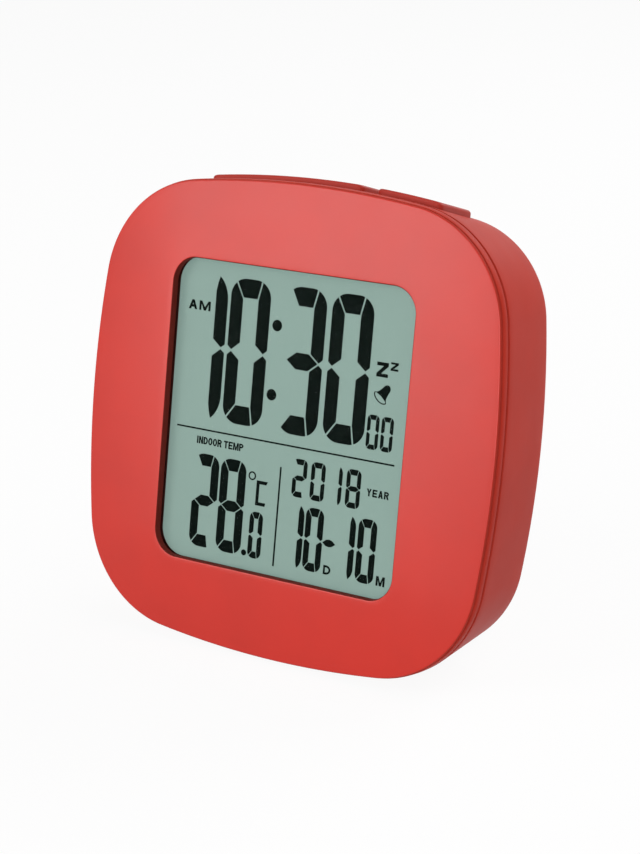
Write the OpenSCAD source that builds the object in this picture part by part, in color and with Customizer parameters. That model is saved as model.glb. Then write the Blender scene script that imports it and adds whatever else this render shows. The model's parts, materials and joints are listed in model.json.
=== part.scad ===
// Digital desk alarm clock in millimetres: +Z up, the table at z = 0, the face towards -Y.
// Pieces are laid out in the case's own frame: x across the face, y back from the face's edge, z up the face.
// placed() leans that frame back and stands it on the table.

/* [Case] */
// Side length of the square face
face_size = 86.5; // [85.5:0.5:96]
// Radius of the face's bowed sides
bow_r = 190; // [150:5:300]
// Radius of the face's corners
corner_r = 21; // [20:0.5:23]
// Angle by which the face leans back
lean = 8.8; // [7:0.1:10]
// Rise of the domed face over its edge, at its middle
face_crown = 1.25; // [0.6:0.05:1.5]
// Wall thickness of both shells
wall = 2; // [1.6:0.1:2.4]
// Depth of the front shell's inner face behind the face's edge
face_d = 2; // [1.8:0.1:2.4]
// Depth of the parting line behind the face's edge
rim_d = 3; // [2.8:0.1:4]
// How far the parting line stands out past the face's edge
flare = 0.2; // [0.1:0.05:0.4]
// Depth of the back face behind the face's edge
body_d = 25.5; // [25:0.5:30]
// Draft angle of the rear shell's sides
side_draft = 8; // [6:0.5:9]
// Radius round the back face's edge
rear_edge_r = 5; // [4:0.5:7]
// Radius of the face's edge
face_edge_r = 0.3; // [0.2:0.05:0.4]
// Width of the groove behind the face's edge
groove_w = 0.7; // [0.4:0.05:0.8]
// Depth of that groove
groove_d = 0.45; // [0.2:0.05:0.8]
// Length of the front shell's tongue inside the rear shell
tongue_l = 1.4; // [1:0.1:2]
// Drop from the face's lower edge to the table, along the face
front_lift = 0.8; // [0.6:0.1:1.5]
// Distance of each foot rail from the middle
foot_x = 21; // [15:1:23]
// Width of a foot rail
foot_w = 5; // [3:0.5:8]

/* [Display] */
// Face left on each side of the window opening
window_side = 17.55; // [16.75:0.05:20]
// Face left over and under the window opening
window_end = 15.4; // [14.75:0.05:18]
// Corner radius of the window opening
window_r = 4.8; // [2:0.2:6]
// Thickness of the lip round the window opening
lip_t = 1.5; // [1.2:0.1:1.8]
// Thickness of the clear window plate
window_t = 0.7; // [0.5:0.05:1]
// How far the display glass reaches past the window opening
glass_lap = 2.3; // [1.5:0.1:3]
// Thickness of the display's front glass
front_glass_t = 0.4; // [0.3:0.05:0.8]
// Thickness of the segment layer
segment_t = 0.07; // [0.05:0.01:0.1]
// Thickness of the display's rear glass
rear_glass_t = 0.8; // [0.5:0.05:1.1]
// Height of the front glass's contact ledge
ledge_h = 4; // [3.6:0.1:5]
// Wall of the display holder round the glass
holder_wall = 1.8; // [1.4:0.1:2.4]
// Ledge of the holder behind the glass
holder_ledge = 1; // [0.6:0.1:1.5]
// Thickness of the light guide
guide_t = 3.4; // [2.5:0.1:4.5]
// Thickness of a backlight lamp, across the face
lamp_t = 1.2; // [0.8:0.1:1.2]
// Height of a backlight lamp
lamp_h = 4; // [2:0.5:6]
// Thickness of the elastomer contact strip
strip_t = 2; // [1.4:0.1:2.2]

/* [Boards] */
// Thickness of every circuit board
board_t = 1.2; // [0.8:0.1:1.6]
// Height of the board ears over and under the middle
ear_z = 25.5; // [23:0.5:26]
// Radius of a board post
post_r = 2.2; // [1.8:0.1:2.4]
// Diameter of a board screw's shank
small_screw = 2; // [1.6:0.1:2.2]
// Length of a board screw under its head
small_screw_l = 4.6; // [4:0.1:5]
// Radius of the epoxy blob over the chip
blob_r = 7; // [4:0.5:9]
// Height of the epoxy blob
blob_h = 2; // [1:0.1:3]
// Radius of the buzzer disc
buzzer_r = 10; // [8:0.5:11]
// Distance of the buzzer's middle under the case's top
buzzer_drop = 19; // [18:0.5:19]

/* [Screws] */
// Radius of the front shell's case bosses
boss_r = 3.2; // [2.8:0.1:3.4]
// Height of the case bosses over and under the middle
boss_z = 16; // [16:0.5:17]
// Depth at which the bosses meet the rear shell's tubes
boss_d = 12; // [10:0.5:14]
// Diameter of a case screw's shank
case_screw = 2.6; // [2.2:0.1:3]
// Length of a case screw under its head
case_screw_l = 12; // [9:0.5:13]
// Diameter of a case screw's head
case_head = 5; // [4.4:0.1:5.2]

/* [Top keys] */
// Left end of the long key
key_left = -23.9; // [-24.5:0.1:-22]
// Width of the long key
snooze_w = 32.6; // [28:0.2:33]
// Gap between the two keys
key_gap = 3; // [2.8:0.1:4]
// Width of the short key
alarm_w = 13.2; // [11:0.2:13.4]
// Depth of the keys' front faces behind the face's edge
key_front = 5.9; // [5.6:0.1:7]
// Size of the keys from front to back
key_depth = 12; // [10:0.2:12.6]
// Height of the keys over the case
key_h = 1.2; // [0.9:0.1:2]
// Corner radius of the keys, seen from above
key_r = 1.2; // [0.6:0.1:2]
// Travel of every key and button
travel = 0.6; // [0.3:0.1:0.7]
// Thickness of a key's retaining flange
flange_t = 0.9; // [0.7:0.1:1.1]
// How far a flange reaches past its key
flange_lap = 1; // [0.6:0.1:1.2]

/* [Rear controls] */
// Height of the button row over the face's middle
row_z = 2; // [1:0.5:4]
// Place of the first button across the back
row_left = -24; // [-25:0.5:-23]
// Distance from one button to the next
button_pitch = 11; // [10.6:0.1:11.6]
// Radius of a rear button
button_r = 3.8; // [3:0.1:4]
// Height of a rear button over the back face
button_h = 1.2; // [0.8:0.1:2]
// Side length of a tact switch's body
switch_w = 6; // [4:0.5:6.5]
// Height of a tact switch's body
switch_h = 2.8; // [2.6:0.1:3]
// Radius of a tact switch's plunger
plunger_r = 1.7; // [1.2:0.1:1.9]
// Travel of the alarm slide switch
slide_travel = 4; // [3:0.5:5]
// Side length of the slide knob's stem
stem_w = 2; // [1.6:0.1:2.4]

/* [Battery] */
// Radius of a cell
cell_r = 5.25; // [5:0.05:5.4]
// Length of a cell with its nub
cell_l = 44.5; // [43:0.1:45.5]
// Length of a seated contact spring
spring_l = 4.2; // [3:0.1:5]
// Thickness of the contact plates
contact_t = 0.4; // [0.3:0.05:0.6]
// Wall of the battery housing over and under the bay
housing_wall = 2.2; // [1.8:0.1:3]
// Height of the battery bay over the table, at the back
bay_lift = 5.2; // [4.6:0.1:6]
// Cut along the lower corners of the battery housing
housing_cut = 5; // [4:0.1:5.2]
// Side wall of the battery housing, beside its door
rail_wall = 2.1; // [1.9:0.1:2.6]
// Thickness of the battery door
door_t = 2.2; // [2.2:0.1:3]
// How far the door reaches past the bay on each side
door_lap = 1.6; // [1:0.1:2]
// Reach and thickness of the door's tongues
door_tongue = 0.8; // [0.6:0.1:0.9]

/* [Fits] */
// Clearance round moving pieces
gap = 0.3; // [0.2:0.05:0.35]
// Clearance round seated pieces
fit = 0.2; // [0.1:0.05:0.25]
// Clearance round a screw's shank
screw_fit = 0.05; // [0.03:0.01:0.1]

/* [Hidden] */
$fn = 48;
side_steps = 4;
corner_steps = 12;
edge_steps = 5;
touch = 0.05;
tip_room = 0.4;

// The face's outline: four bowed sides and four round corners, all tangent arcs.
face_half = face_size / 2;
side_centre = face_half - bow_r;
corner_c = (side_centre + sqrt(2 * pow(bow_r - corner_r, 2) - pow(side_centre, 2))) / 2;
corner_a = atan2(corner_c, corner_c - side_centre);
dome_reach = 30;
dome_end = corner_r - 2;

// Depths from the face's edge back, one piece behind the other.
window_lap_y = lip_t - face_crown * 0.8;
glass_y = window_lap_y + window_t;
segment_y = glass_y + front_glass_t;
rear_glass_y = segment_y + segment_t;
guide_y = rear_glass_y + rear_glass_t + touch;
board_y = guide_y + guide_t + touch;
board_back = board_y + board_t;
back_in = body_d - wall;

// Display sizes. The figures are drawn for the photographed window and follow its size.
window_w = face_size - 2 * window_side;
window_h = face_size - 2 * window_end;
figure_scale = min(window_w / 51.4, window_h / 55.7);
glass_w = window_w + 2 * glass_lap;
glass_h = window_h + 2 * glass_lap;
holder_w = glass_w + 2 * (fit + holder_wall);
holder_top = glass_h / 2 + fit + holder_wall;
holder_bottom = -glass_h / 2 - ledge_h - fit - holder_wall;
holder_r = 4;
strip_z = -glass_h / 2 - ledge_h * 0.56;
guide_w = glass_w - 2 * (holder_ledge + lamp_t + 3 * touch);
guide_h = glass_h - 2 * (holder_ledge + fit);

// Places of bosses and posts.
boss_x = holder_w / 2 + boss_r + 0.8;
tube_r = boss_r + 0.5;
case_seat = boss_d + 4;
head_h = 1.8;
ear_x = holder_w / 2 + post_r + gap;
small_head = small_screw * 1.8;
small_head_h = 1.2;
post_bite = small_screw_l - board_t;

// Rear shell: inset of its side at a depth, and the rounded edge's centre.
function side_inset(y) = -flare + (y - rim_d) * tan(side_draft);
slant_wall = wall / cos(side_draft);
edge_y = body_d - rear_edge_r;
edge_c = side_inset(edge_y) + rear_edge_r / cos(side_draft);
seam_gap = 0.1;
seam_chamfer = 0.2;
tongue_in = wall / 2;

// Table plane in the case's frame, and the origin under the middle of the base.
function table_z(y) = -face_half - front_lift + y * tan(lean);
stand_z = (face_half + front_lift) * cos(lean);
base_mid_y = 12;

// Top keys.
key_rear = key_front + key_depth;
key_mid = (key_front + key_rear) / 2;
alarm_left = key_left + snooze_w + key_gap;
snooze_mid = key_left + snooze_w / 2;
alarm_mid = alarm_left + alarm_w / 2;
snooze_switch_span = 18;
stem_min = 0.7;
under_wall = slant_wall + gap;
under_key = under_wall + flange_t;
key_top_at_alarm = face_half - side_inset(key_mid) - pow(alarm_left + alarm_w, 2) / (2 * bow_r);
key_board_z = key_top_at_alarm - under_key - travel - gap - switch_h - stem_min;
key_board_front = board_back + 0.9;
key_board_rear = key_mid + switch_w / 2 + 2;
key_post_x = alarm_left + alarm_w + flange_lap + gap + post_r + 0.4;
key_post_y = key_mid;
plunger_out = travel + 0.1;
switch_floor = 0.6;

// Rear controls.
slide_x = row_left + 4 * button_pitch + 2;
row_flange_t = 0.8;
flange_y = back_in - fit - row_flange_t;
plunger_end = flange_y - 0.4;
row_board_back = plunger_end - plunger_out - switch_h;
row_board_front = row_board_back - board_t;
row_board_w = 2 * (slide_x + 8);
row_post_x = 18.5;
row_post_z = switch_w / 2 + gap + button_r + post_r;

buzzer_z = face_half - buzzer_drop;
buzzer_seat = back_in - 1.2;
buzzer_t = 0.3;
ceramic_t = 0.25;
sound_r = 0.8;
sound_ring = 4.5;

// Battery bay, housing and door.
bay_w = cell_l + spring_l + 2 * contact_t + gap;
bay_h = 4 * cell_r + 3 * gap;
cell_y = body_d + gap + cell_r;
door_y = cell_y + cell_r + gap;
housing_d = door_y + door_t;
bay_bottom = table_z(housing_d) + bay_lift;
bay_top = bay_bottom + bay_h;
housing_top = bay_top + housing_wall;
door_half = bay_w / 2 + door_lap;
housing_half = door_half + gap + rail_wall;
housing_r = 3;
housing_low = table_z(body_d) - 3;
housing_shoulder = table_z(housing_d) + housing_cut;
housing_hollow = housing_half - housing_shoulder + table_z(body_d + wall) - wall;
lower_cell_z = bay_bottom + gap + cell_r;
upper_cell_z = lower_cell_z + 2 * cell_r + gap;
tab_y = back_in - 2;
tab_x = bay_w / 2 - contact_t / 2;
tab_h = 3;
lead_r = 0.55;

// Stands a piece of the case's frame on the table.
module placed() {
  translate([0, -base_mid_y, stand_z])
    rotate([-lean, 0, 0])
      children();
}

// One point of the outline and its copies on the other three sides, inset by d.
function quarter(d) = concat(
  [for (i = [0 : side_steps - 1])
    let (a = -corner_a + 2 * corner_a * i / side_steps)
      [side_centre + (bow_r - d) * cos(a), (bow_r - d) * sin(a)]],
  [for (i = [0 : corner_steps - 1])
    let (a = corner_a + (90 - 2 * corner_a) * i / corner_steps)
      [corner_c + (corner_r - d) * cos(a), corner_c + (corner_r - d) * sin(a)]]
);
function turned(p, q) = [p[0] * cos(90 * q) - p[1] * sin(90 * q), p[0] * sin(90 * q) + p[1] * cos(90 * q)];
function outline(d) = [for (q = [0 : 3]) for (p = quarter(d)) turned(p, q)];

// A closed skin through rings of the outline. Each profile entry is an inset and a depth.
module skin(profile) {
  rings = [for (e = profile) [for (p = outline(e[0])) [p[0], e[1], p[1]]]];
  n = len(rings[0]);
  m = len(rings);
  points = [for (r = rings) for (p = r) p];
  sides = [for (i = [0 : m - 2]) for (j = [0 : n - 1])
    let (a = i * n + j, b = i * n + (j + 1) % n, c = b + n, e = a + n)
      each [[a, b, c], [a, c, e]]];
  front = [[for (j = [n - 1 : -1 : 0]) j]];
  back = [[for (j = [0 : n - 1]) (m - 1) * n + j]];
  polyhedron(points, concat(sides, front, back));
}

// A flat shape drawn across the face and stretched from one depth to another.
module slab(y0, y1) {
  translate([0, y1, 0])
    rotate([90, 0, 0])
      linear_extrude(y1 - y0)
        children();
}

module round_rect(w, h, r) {
  square([w - 2 * r, h], center = true);
  square([w, h - 2 * r], center = true);
  for (x = [-1, 1], y = [-1, 1])
    translate([x * (w / 2 - r), y * (h / 2 - r)])
      circle(r);
}

// A round rod along the depth, and one up the face.
module rod(x, z, y0, y1, r) {
  translate([x, y0, z])
    rotate([-90, 0, 0])
      cylinder(r = r, h = y1 - y0);
}

module upright(x, y, z0, z1, r) {
  translate([x, y, z0])
    cylinder(r = r, h = z1 - z0);
}

module corners(x, z) {
  for (sx = [-1, 1], sz = [-1, 1])
    translate([sx * x, 0, sz * z])
      children();
}

// Front shell
function dome_y(d) = -face_crown * (1 - pow(1 - d / dome_reach, 2));
front_profile = concat(
  [for (d = [dome_end, dome_end * 0.75, dome_end * 0.5, dome_end * 0.25, face_edge_r]) [d, dome_y(d)]],
  [[0, face_edge_r],
   [0, face_edge_r + 0.15],
   [groove_d, face_edge_r + 0.2],
   [groove_d, face_edge_r + 0.2 + groove_w],
   [-flare / 2, face_edge_r + 0.25 + groove_w],
   [-flare, rim_d - seam_chamfer],
   [seam_chamfer - flare, rim_d],
   [tongue_in, rim_d],
   [tongue_in, rim_d + tongue_l]]
);

module holder_outline(grow) {
  translate([0, (holder_top + holder_bottom) / 2])
    round_rect(holder_w + 2 * grow, holder_top - holder_bottom + 2 * grow, holder_r + grow);
}

module front_case() {
  color("#cc463f") placed()
    difference() {
      union() {
        difference() {
          skin(front_profile);
          skin([[wall, face_d], [wall, rim_d + tongue_l + 1]]);
        }
        corners(boss_x, boss_z) rod(0, 0, face_d - 0.5, boss_d, boss_r);
        corners(ear_x, ear_z) rod(0, 0, face_d - 0.5, board_y, post_r);
      }
      slab(-face_crown - 1, face_d) round_rect(window_w, window_h, window_r);
      slab(window_lap_y, face_d + 0.5) holder_outline(fit);
      corners(boss_x, boss_z) rod(0, 0, case_seat - case_screw_l - tip_room, boss_d + 1, case_screw / 2 + screw_fit);
      corners(ear_x, ear_z) rod(0, 0, board_back - small_screw_l - tip_room, board_y + 1, small_screw / 2 + screw_fit);
    }
}

// Rear shell
function edge_ring(r, a) = [edge_c - r * cos(a), edge_y + r * sin(a)];
function edge_rings(r) = [for (i = [0 : edge_steps])
  edge_ring(r, side_draft + (90 - side_draft) * i / edge_steps)];
rear_start = rim_d + seam_gap;
rear_profile = concat(
  [[seam_chamfer + side_inset(rear_start), rear_start],
   [side_inset(rear_start + seam_chamfer), rear_start + seam_chamfer]],
  edge_rings(rear_edge_r)
);
tongue_end = rim_d + tongue_l + fit;
cavity_profile = concat(
  [[tongue_in - fit, rim_d - 1],
   [tongue_in - fit, tongue_end],
   [side_inset(tongue_end) + slant_wall, tongue_end]],
  edge_rings(rear_edge_r - wall)
);

// What lies between two insets of the rear shell's side, over the keys' depth.
module key_skin(inset) {
  skin([for (y = [key_front - 3, key_rear + 2]) [side_inset(y) + inset, y]]);
}

module key_plan(left, w, grow) {
  translate([left + w / 2, key_mid, face_half / 2])
    linear_extrude(face_half)
      round_rect(w + 2 * grow, key_depth + 2 * grow, key_r + grow);
}

// The battery housing is the rear foot: its lower corners are cut off and it is hollow under the bay.
module battery_housing() {
  low_half = housing_half - housing_shoulder + housing_low;
  slab(body_d - wall / 2, housing_d)
    intersection() {
      translate([0, (housing_top + housing_low) / 2])
        round_rect(2 * housing_half, housing_top - housing_low, housing_r);
      polygon([[-housing_half, housing_top], [-housing_half, housing_shoulder], [-low_half, housing_low],
               [low_half, housing_low], [housing_half, housing_shoulder], [housing_half, housing_top]]);
    }
}

module foot_hollow() {
  slab(body_d + wall, housing_d - wall)
    translate([-housing_hollow, housing_low])
      square([2 * housing_hollow, bay_bottom - housing_wall - housing_low]);
}

module battery_bay() {
  slab(body_d, door_y)
    translate([0, (bay_top + bay_bottom) / 2])
      square([bay_w, bay_h], center = true);
  for (y = [[door_y - gap, housing_d + 1, door_half + gap],
            [door_y, door_y + door_tongue + 2 * gap, door_half + door_tongue + gap]])
    slab(y[0], y[1])
      translate([-y[2], bay_bottom])
        square([2 * y[2], housing_top - bay_bottom + 1]);
  for (z = [lower_cell_z, upper_cell_z])
    translate([tab_x, body_d, z])
      cube([contact_t + 2 * fit, 3 * wall, tab_h + 2 * fit], center = true);
}

module foot_rails() {
  for (x = [-foot_x, foot_x])
    translate([x - foot_w / 2, rim_d + 4, -face_half - 3])
      cube([foot_w, edge_y - rim_d - 4, 6]);
}

module rear_posts() {
  corners(boss_x, boss_z) rod(0, 0, boss_d + seam_gap, body_d, tube_r);
  translate([0, 0, row_z])
    corners(row_post_x, row_post_z) rod(0, 0, row_board_back, body_d - wall / 2, post_r);
  for (x = [-key_post_x, key_post_x])
    upright(x, key_post_y, key_board_z, face_half, post_r);
  difference() {
    rod(0, buzzer_z, buzzer_seat, body_d - wall / 2, buzzer_r);
    rod(0, buzzer_z, back_in - 2, back_in, buzzer_r - 1.5);
  }
  shelf_top = key_board_z - board_t;
  translate([alarm_left - key_gap / 2 - 2, key_mid, shelf_top - 2])
    cube([4, body_d - wall / 2 - key_mid, 2]);
}

module rear_holes() {
  key_plan(key_left, snooze_w, gap);
  key_plan(alarm_left, alarm_w, gap);
  corners(boss_x, boss_z) rod(0, 0, boss_d, body_d + 1, case_screw / 2 + screw_fit);
  corners(boss_x, boss_z) rod(0, 0, case_seat, body_d + 1, case_head / 2 + fit);
  translate([0, 0, row_z])
    corners(row_post_x, row_post_z)
      rod(0, 0, row_board_back - 1, row_board_back + post_bite + tip_room, small_screw / 2 + screw_fit);
  for (x = [-key_post_x, key_post_x])
    upright(x, key_post_y, key_board_z - 1, key_board_z + post_bite + tip_room, small_screw / 2 + screw_fit);
  for (i = [0 : 3])
    rod(row_left + i * button_pitch, row_z, back_in - 1, body_d + 1, button_r + gap);
  translate([slide_x, body_d - wall / 2, row_z])
    cube([stem_w + 2 * gap, 2 * wall, stem_w + slide_travel + 2 * gap], center = true);
  rod(0, buzzer_z, back_in - 0.5, body_d + 1, sound_r);
  for (i = [0 : 5])
    rod(sound_ring * cos(60 * i), buzzer_z + sound_ring * sin(60 * i), back_in - 0.5, body_d + 1, sound_r);
}

module under_table() {
  translate([-face_size, -face_size, -20])
    cube([2 * face_size, 2 * face_size, 20]);
}

module rear_case() {
  color("#b8443c") difference() {
    placed() difference() {
      union() {
        difference() {
          union() {
            skin(rear_profile);
            foot_rails();
            battery_housing();
          }
          skin(cavity_profile);
        }
        intersection() {
          rear_posts();
          skin(rear_profile);
        }
      }
      battery_bay();
      foot_hollow();
      rear_holes();
    }
    under_table();
  }
}

// Display
module display_window() {
  color("#e8f4f4", 0.3) placed()
    slab(window_lap_y, glass_y) holder_outline(0);
}

module lcd_front_glass() {
  color("#a8bcb2", 0.4) placed()
    slab(glass_y, segment_y)
      translate([0, -ledge_h / 2])
        square([glass_w, glass_h + ledge_h], center = true);
}

module lcd_rear_glass() {
  color("#91aaa0") placed()
    slab(rear_glass_y, rear_glass_y + rear_glass_t)
      square([glass_w, glass_h], center = true);
}

// Seven-segment digits: a top, b and c right, d bottom, e and f left, g middle.
lit = ["abcdef", "bc", "abdeg", "abcdg", "bcfg", "acdfg", "acdefg", "abc", "abcdefg", "abcdfg"];
stroke_gap = 0.2;

module level_bar(w, s, t) {
  polygon([[stroke_gap, 0], [w - stroke_gap, 0], [w - s - stroke_gap, -t], [s + stroke_gap, -t]]);
}

module upright_bar(h, s, t) {
  polygon([[0, h - stroke_gap], [0, h / 2 + stroke_gap], [s / 2, h / 2 + stroke_gap],
           [s, h / 2 + t / 2 + stroke_gap], [s, h - t - stroke_gap]]);
}

module middle_bar(w, h, s, t) {
  e = s / 2 + 2 * stroke_gap;
  polygon([[e, h / 2], [e + t / 2, h / 2 + t / 2], [w - e - t / 2, h / 2 + t / 2],
           [w - e, h / 2], [w - e - t / 2, h / 2 - t / 2], [e + t / 2, h / 2 - t / 2]]);
}

module one_segment(letter, w, h, s, t) {
  if (letter == "a") translate([0, h]) level_bar(w, s, t);
  if (letter == "d") mirror([0, 1]) level_bar(w, s, t);
  if (letter == "f") upright_bar(h, s, t);
  if (letter == "b") translate([w, 0]) mirror([1, 0]) upright_bar(h, s, t);
  if (letter == "e") translate([0, h]) mirror([0, 1]) upright_bar(h, s, t);
  if (letter == "c") translate([w, h]) mirror([1, 0]) mirror([0, 1]) upright_bar(h, s, t);
  if (letter == "g") middle_bar(w, h, s, t);
}

module digit(value, left, bottom, w, h, s, t) {
  for (letter = lit[value])
    slab(segment_y, rear_glass_y)
      scale(figure_scale)
        translate([left, bottom])
          one_segment(letter, w, h, s, t);
}

module bar(left, bottom, w, h) {
  slab(segment_y, rear_glass_y)
    scale(figure_scale)
      translate([left, bottom])
        square([w, h]);
}

module dot(x, z, r) {
  rod(x * figure_scale, z * figure_scale, segment_y, rear_glass_y, r * figure_scale);
}

module lcd_segments() {
  hour_w = 8.7;
  hour_h = 26.7;
  hour_z = -1.6;
  temp_z = -25.65;
  color("#161c1c") placed() {
    digit(1, -23.8, hour_z, hour_w, hour_h, 2.6, 3.4);
    digit(0, -14.45, hour_z, hour_w, hour_h, 2.6, 3.4);
    digit(3, -2.45, hour_z, hour_w, hour_h, 2.6, 3.4);
    digit(0, 7.35, hour_z, hour_w, hour_h, 2.6, 3.4);
    for (z = [4.9, 17.5]) dot(-4, z, 1);
    for (x = [16.5, 19.5]) digit(0, x, hour_z, 2.4, 6.2, 0.6, 0.75);
    bar(-24.35, -3.9, 47.1, 0.3);
    bar(-0.9, -26.3, 0.33, 18.4);
    digit(2, -19.8, temp_z, 5.6, 17.5, 1.7, 2.1);
    digit(8, -13.75, temp_z, 5.6, 17.5, 1.7, 2.1);
    dot(-7.35, temp_z + 0.85, 0.55);
    digit(0, -6.6, temp_z, 2.9, 8.65, 0.95, 1.1);
    digit(2, 1.9, -12.75, 3, 7, 0.7, 0.85);
    digit(0, 5.8, -12.75, 3, 7, 0.7, 0.85);
    digit(1, 9.4, -12.75, 3, 7, 0.7, 0.85);
    digit(8, 13.3, -12.75, 3, 7, 0.7, 0.85);
    digit(1, 1.3, temp_z, 3.85, 11.6, 1.15, 1.35);
    digit(0, 5.45, temp_z, 3.85, 11.6, 1.15, 1.35);
    bar(9.9, -20.4, 2, 1);
    digit(1, 12.25, temp_z, 3.85, 11.6, 1.15, 1.35);
    digit(0, 16.65, temp_z, 3.85, 11.6, 1.15, 1.35);
  }
}

module lcd_holder() {
  strip_room = strip_t + 2 * fit;
  color("#e6e6e0") placed()
    difference() {
      slab(glass_y, board_y) holder_outline(0);
      slab(glass_y - 1, segment_y)
        translate([0, -ledge_h / 2])
          square([glass_w + 2 * fit, glass_h + ledge_h + 2 * fit], center = true);
      slab(segment_y - 0.1, rear_glass_y + rear_glass_t)
        square([glass_w + 2 * fit, glass_h + 2 * fit], center = true);
      slab(glass_y - 1, board_y + 1)
        square([glass_w - 2 * holder_ledge, glass_h - 2 * holder_ledge], center = true);
      slab(glass_y - 1, board_y + 1)
        translate([0, strip_z])
          square([guide_w + 2 * fit, strip_room], center = true);
    }
}

module light_guide() {
  color("#dfe9e6", 0.6) placed()
    slab(guide_y, guide_y + guide_t)
      square([guide_w, guide_h], center = true);
}

module backlight_lamps() {
  color("#f2efd8") placed()
    for (side = [-1, 1])
      translate([side * (guide_w / 2 + touch + lamp_t / 2), 0, 0])
        slab(board_y - 0.8 * guide_t, board_y)
          square([lamp_t, lamp_h], center = true);
}

module elastomer_strip() {
  color("#3a3a3c") placed()
    slab(segment_y, board_y)
      translate([0, strip_z])
        square([guide_w, strip_t], center = true);
}

// Boards
module main_board() {
  color("#2f6b45") placed()
    difference() {
      slab(board_y, board_back) {
        holder_outline(0);
        for (z = [-ear_z, ear_z])
          translate([0, z])
            square([2 * (ear_x + post_r), 2 * post_r], center = true);
      }
      corners(ear_x, ear_z) rod(0, 0, board_y - 1, board_back + 1, small_screw / 2 + screw_fit);
    }
}

module chip_blob() {
  ball_r = (blob_r * blob_r + blob_h * blob_h) / (2 * blob_h);
  color("#141416") placed()
    intersection() {
      translate([0, board_back + blob_h - ball_r, 6]) sphere(ball_r, $fn = 240);
      rod(0, 6, board_back, board_back + blob_h + 1, 2 * blob_r);
    }
}

module quartz_can() {
  can_r = 1;
  color("#c8ccd0") placed()
    translate([11, board_back + can_r, 16])
      rotate([0, 90, 0])
        cylinder(r = can_r, h = 6);
}

module thermistor() {
  bead_y = board_back + 3;
  color("#3f5f8f") placed()
    translate([20, 0, holder_bottom + 5]) {
      translate([0, bead_y, 0]) sphere(1.3);
      for (x = [-0.6, 0.6]) rod(x, 0, board_back, bead_y, 0.25);
    }
}

module small_screw_at(y0) {
  rod(0, 0, y0 - small_screw_l, y0, small_screw / 2);
  difference() {
    rod(0, 0, y0, y0 + small_head_h, small_head / 2);
    translate([0, y0 + small_head_h, 0]) cube([small_head * 0.7, 1, 0.5], center = true);
    translate([0, y0 + small_head_h, 0]) cube([0.5, 1, small_head * 0.7], center = true);
  }
}

module board_screws() {
  color("#9a9da0") placed() {
    corners(ear_x, ear_z) small_screw_at(board_back);
    translate([0, 0, row_z])
      corners(row_post_x, row_post_z)
        translate([0, row_board_front, 0]) rotate([0, 0, 180]) small_screw_at(0);
    for (x = [-key_post_x, key_post_x])
      translate([x, key_post_y, key_board_z - board_t])
        rotate([-90, 0, 0]) small_screw_at(0);
  }
}

module case_screws() {
  color("#8d9094") placed()
    corners(boss_x, boss_z) {
      rod(0, 0, case_seat - case_screw_l, case_seat, case_screw / 2);
      difference() {
        rod(0, 0, case_seat, case_seat + head_h, case_head / 2);
        translate([0, case_seat + head_h, 0]) cube([case_head * 0.7, 1.6, 0.7], center = true);
        translate([0, case_seat + head_h, 0]) cube([0.7, 1.6, case_head * 0.7], center = true);
      }
    }
}

// Top keys and their switches
module key(left, w, stems) {
  color("#b23f38") placed() {
    difference() {
      union() {
        intersection() {
          key_plan(left, w, 0);
          key_skin(-key_h);
        }
        intersection() {
          key_plan(left, w, flange_lap);
          key_skin(under_wall);
        }
      }
      key_skin(under_key);
    }
    for (x = stems)
      upright(x, key_mid, key_board_z + switch_h + plunger_out + touch,
              face_half - side_inset(key_mid) - under_key, plunger_r);
  }
}

snooze_stems = [for (s = [-0.5, 0.5]) snooze_mid + s * snooze_switch_span];

module snooze_key() {
  key(key_left, snooze_w, snooze_stems);
}

module alarm_key() {
  key(alarm_left, alarm_w, [alarm_mid]);
}

module top_key_board() {
  color("#2f6b45") placed()
    difference() {
      translate([-key_post_x - post_r, key_board_front, key_board_z - board_t])
        cube([2 * (key_post_x + post_r), key_board_rear - key_board_front, board_t]);
      for (x = [-key_post_x, key_post_x])
        upright(x, key_post_y, key_board_z - board_t - 1, key_board_z + 1, small_screw / 2 + screw_fit);
    }
}

// A tact switch that stands on z = 0 and is pressed downwards.
module switch_body() {
  difference() {
    translate([-switch_w / 2, -switch_w / 2, 0]) cube([switch_w, switch_w, switch_h]);
    translate([0, 0, switch_floor]) cylinder(r = plunger_r + gap, h = switch_h);
  }
}

module switch_plunger() {
  bottom = switch_floor + travel + fit;
  translate([0, 0, bottom]) cylinder(r = plunger_r, h = switch_h + plunger_out - bottom);
}

module on_key_board(x) {
  translate([x, key_mid, key_board_z]) children();
}

module on_row_board(x) {
  translate([x, row_board_back, row_z]) rotate([-90, 0, 0]) children();
}

module top_switches() {
  color("#46484c") placed()
    for (x = concat(snooze_stems, [alarm_mid])) on_key_board(x) switch_body();
}

module snooze_plungers() {
  color("#d8d8d4") placed()
    for (x = snooze_stems) on_key_board(x) switch_plunger();
}

module alarm_plunger() {
  color("#d8d8d4") placed() on_key_board(alarm_mid) switch_plunger();
}

// Rear buttons, their board and the alarm slide switch
module button_board() {
  color("#2f6b45") placed()
    translate([0, 0, row_z])
      difference() {
        slab(row_board_front, row_board_back)
          square([row_board_w, 2 * (row_post_z + post_r)], center = true);
        corners(row_post_x, row_post_z)
          rod(0, 0, row_board_front - 1, row_board_back + 1, small_screw / 2 + screw_fit);
      }
}

module rear_switches() {
  color("#46484c") placed()
    for (i = [0 : 3]) on_row_board(row_left + i * button_pitch) switch_body();
}

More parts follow.
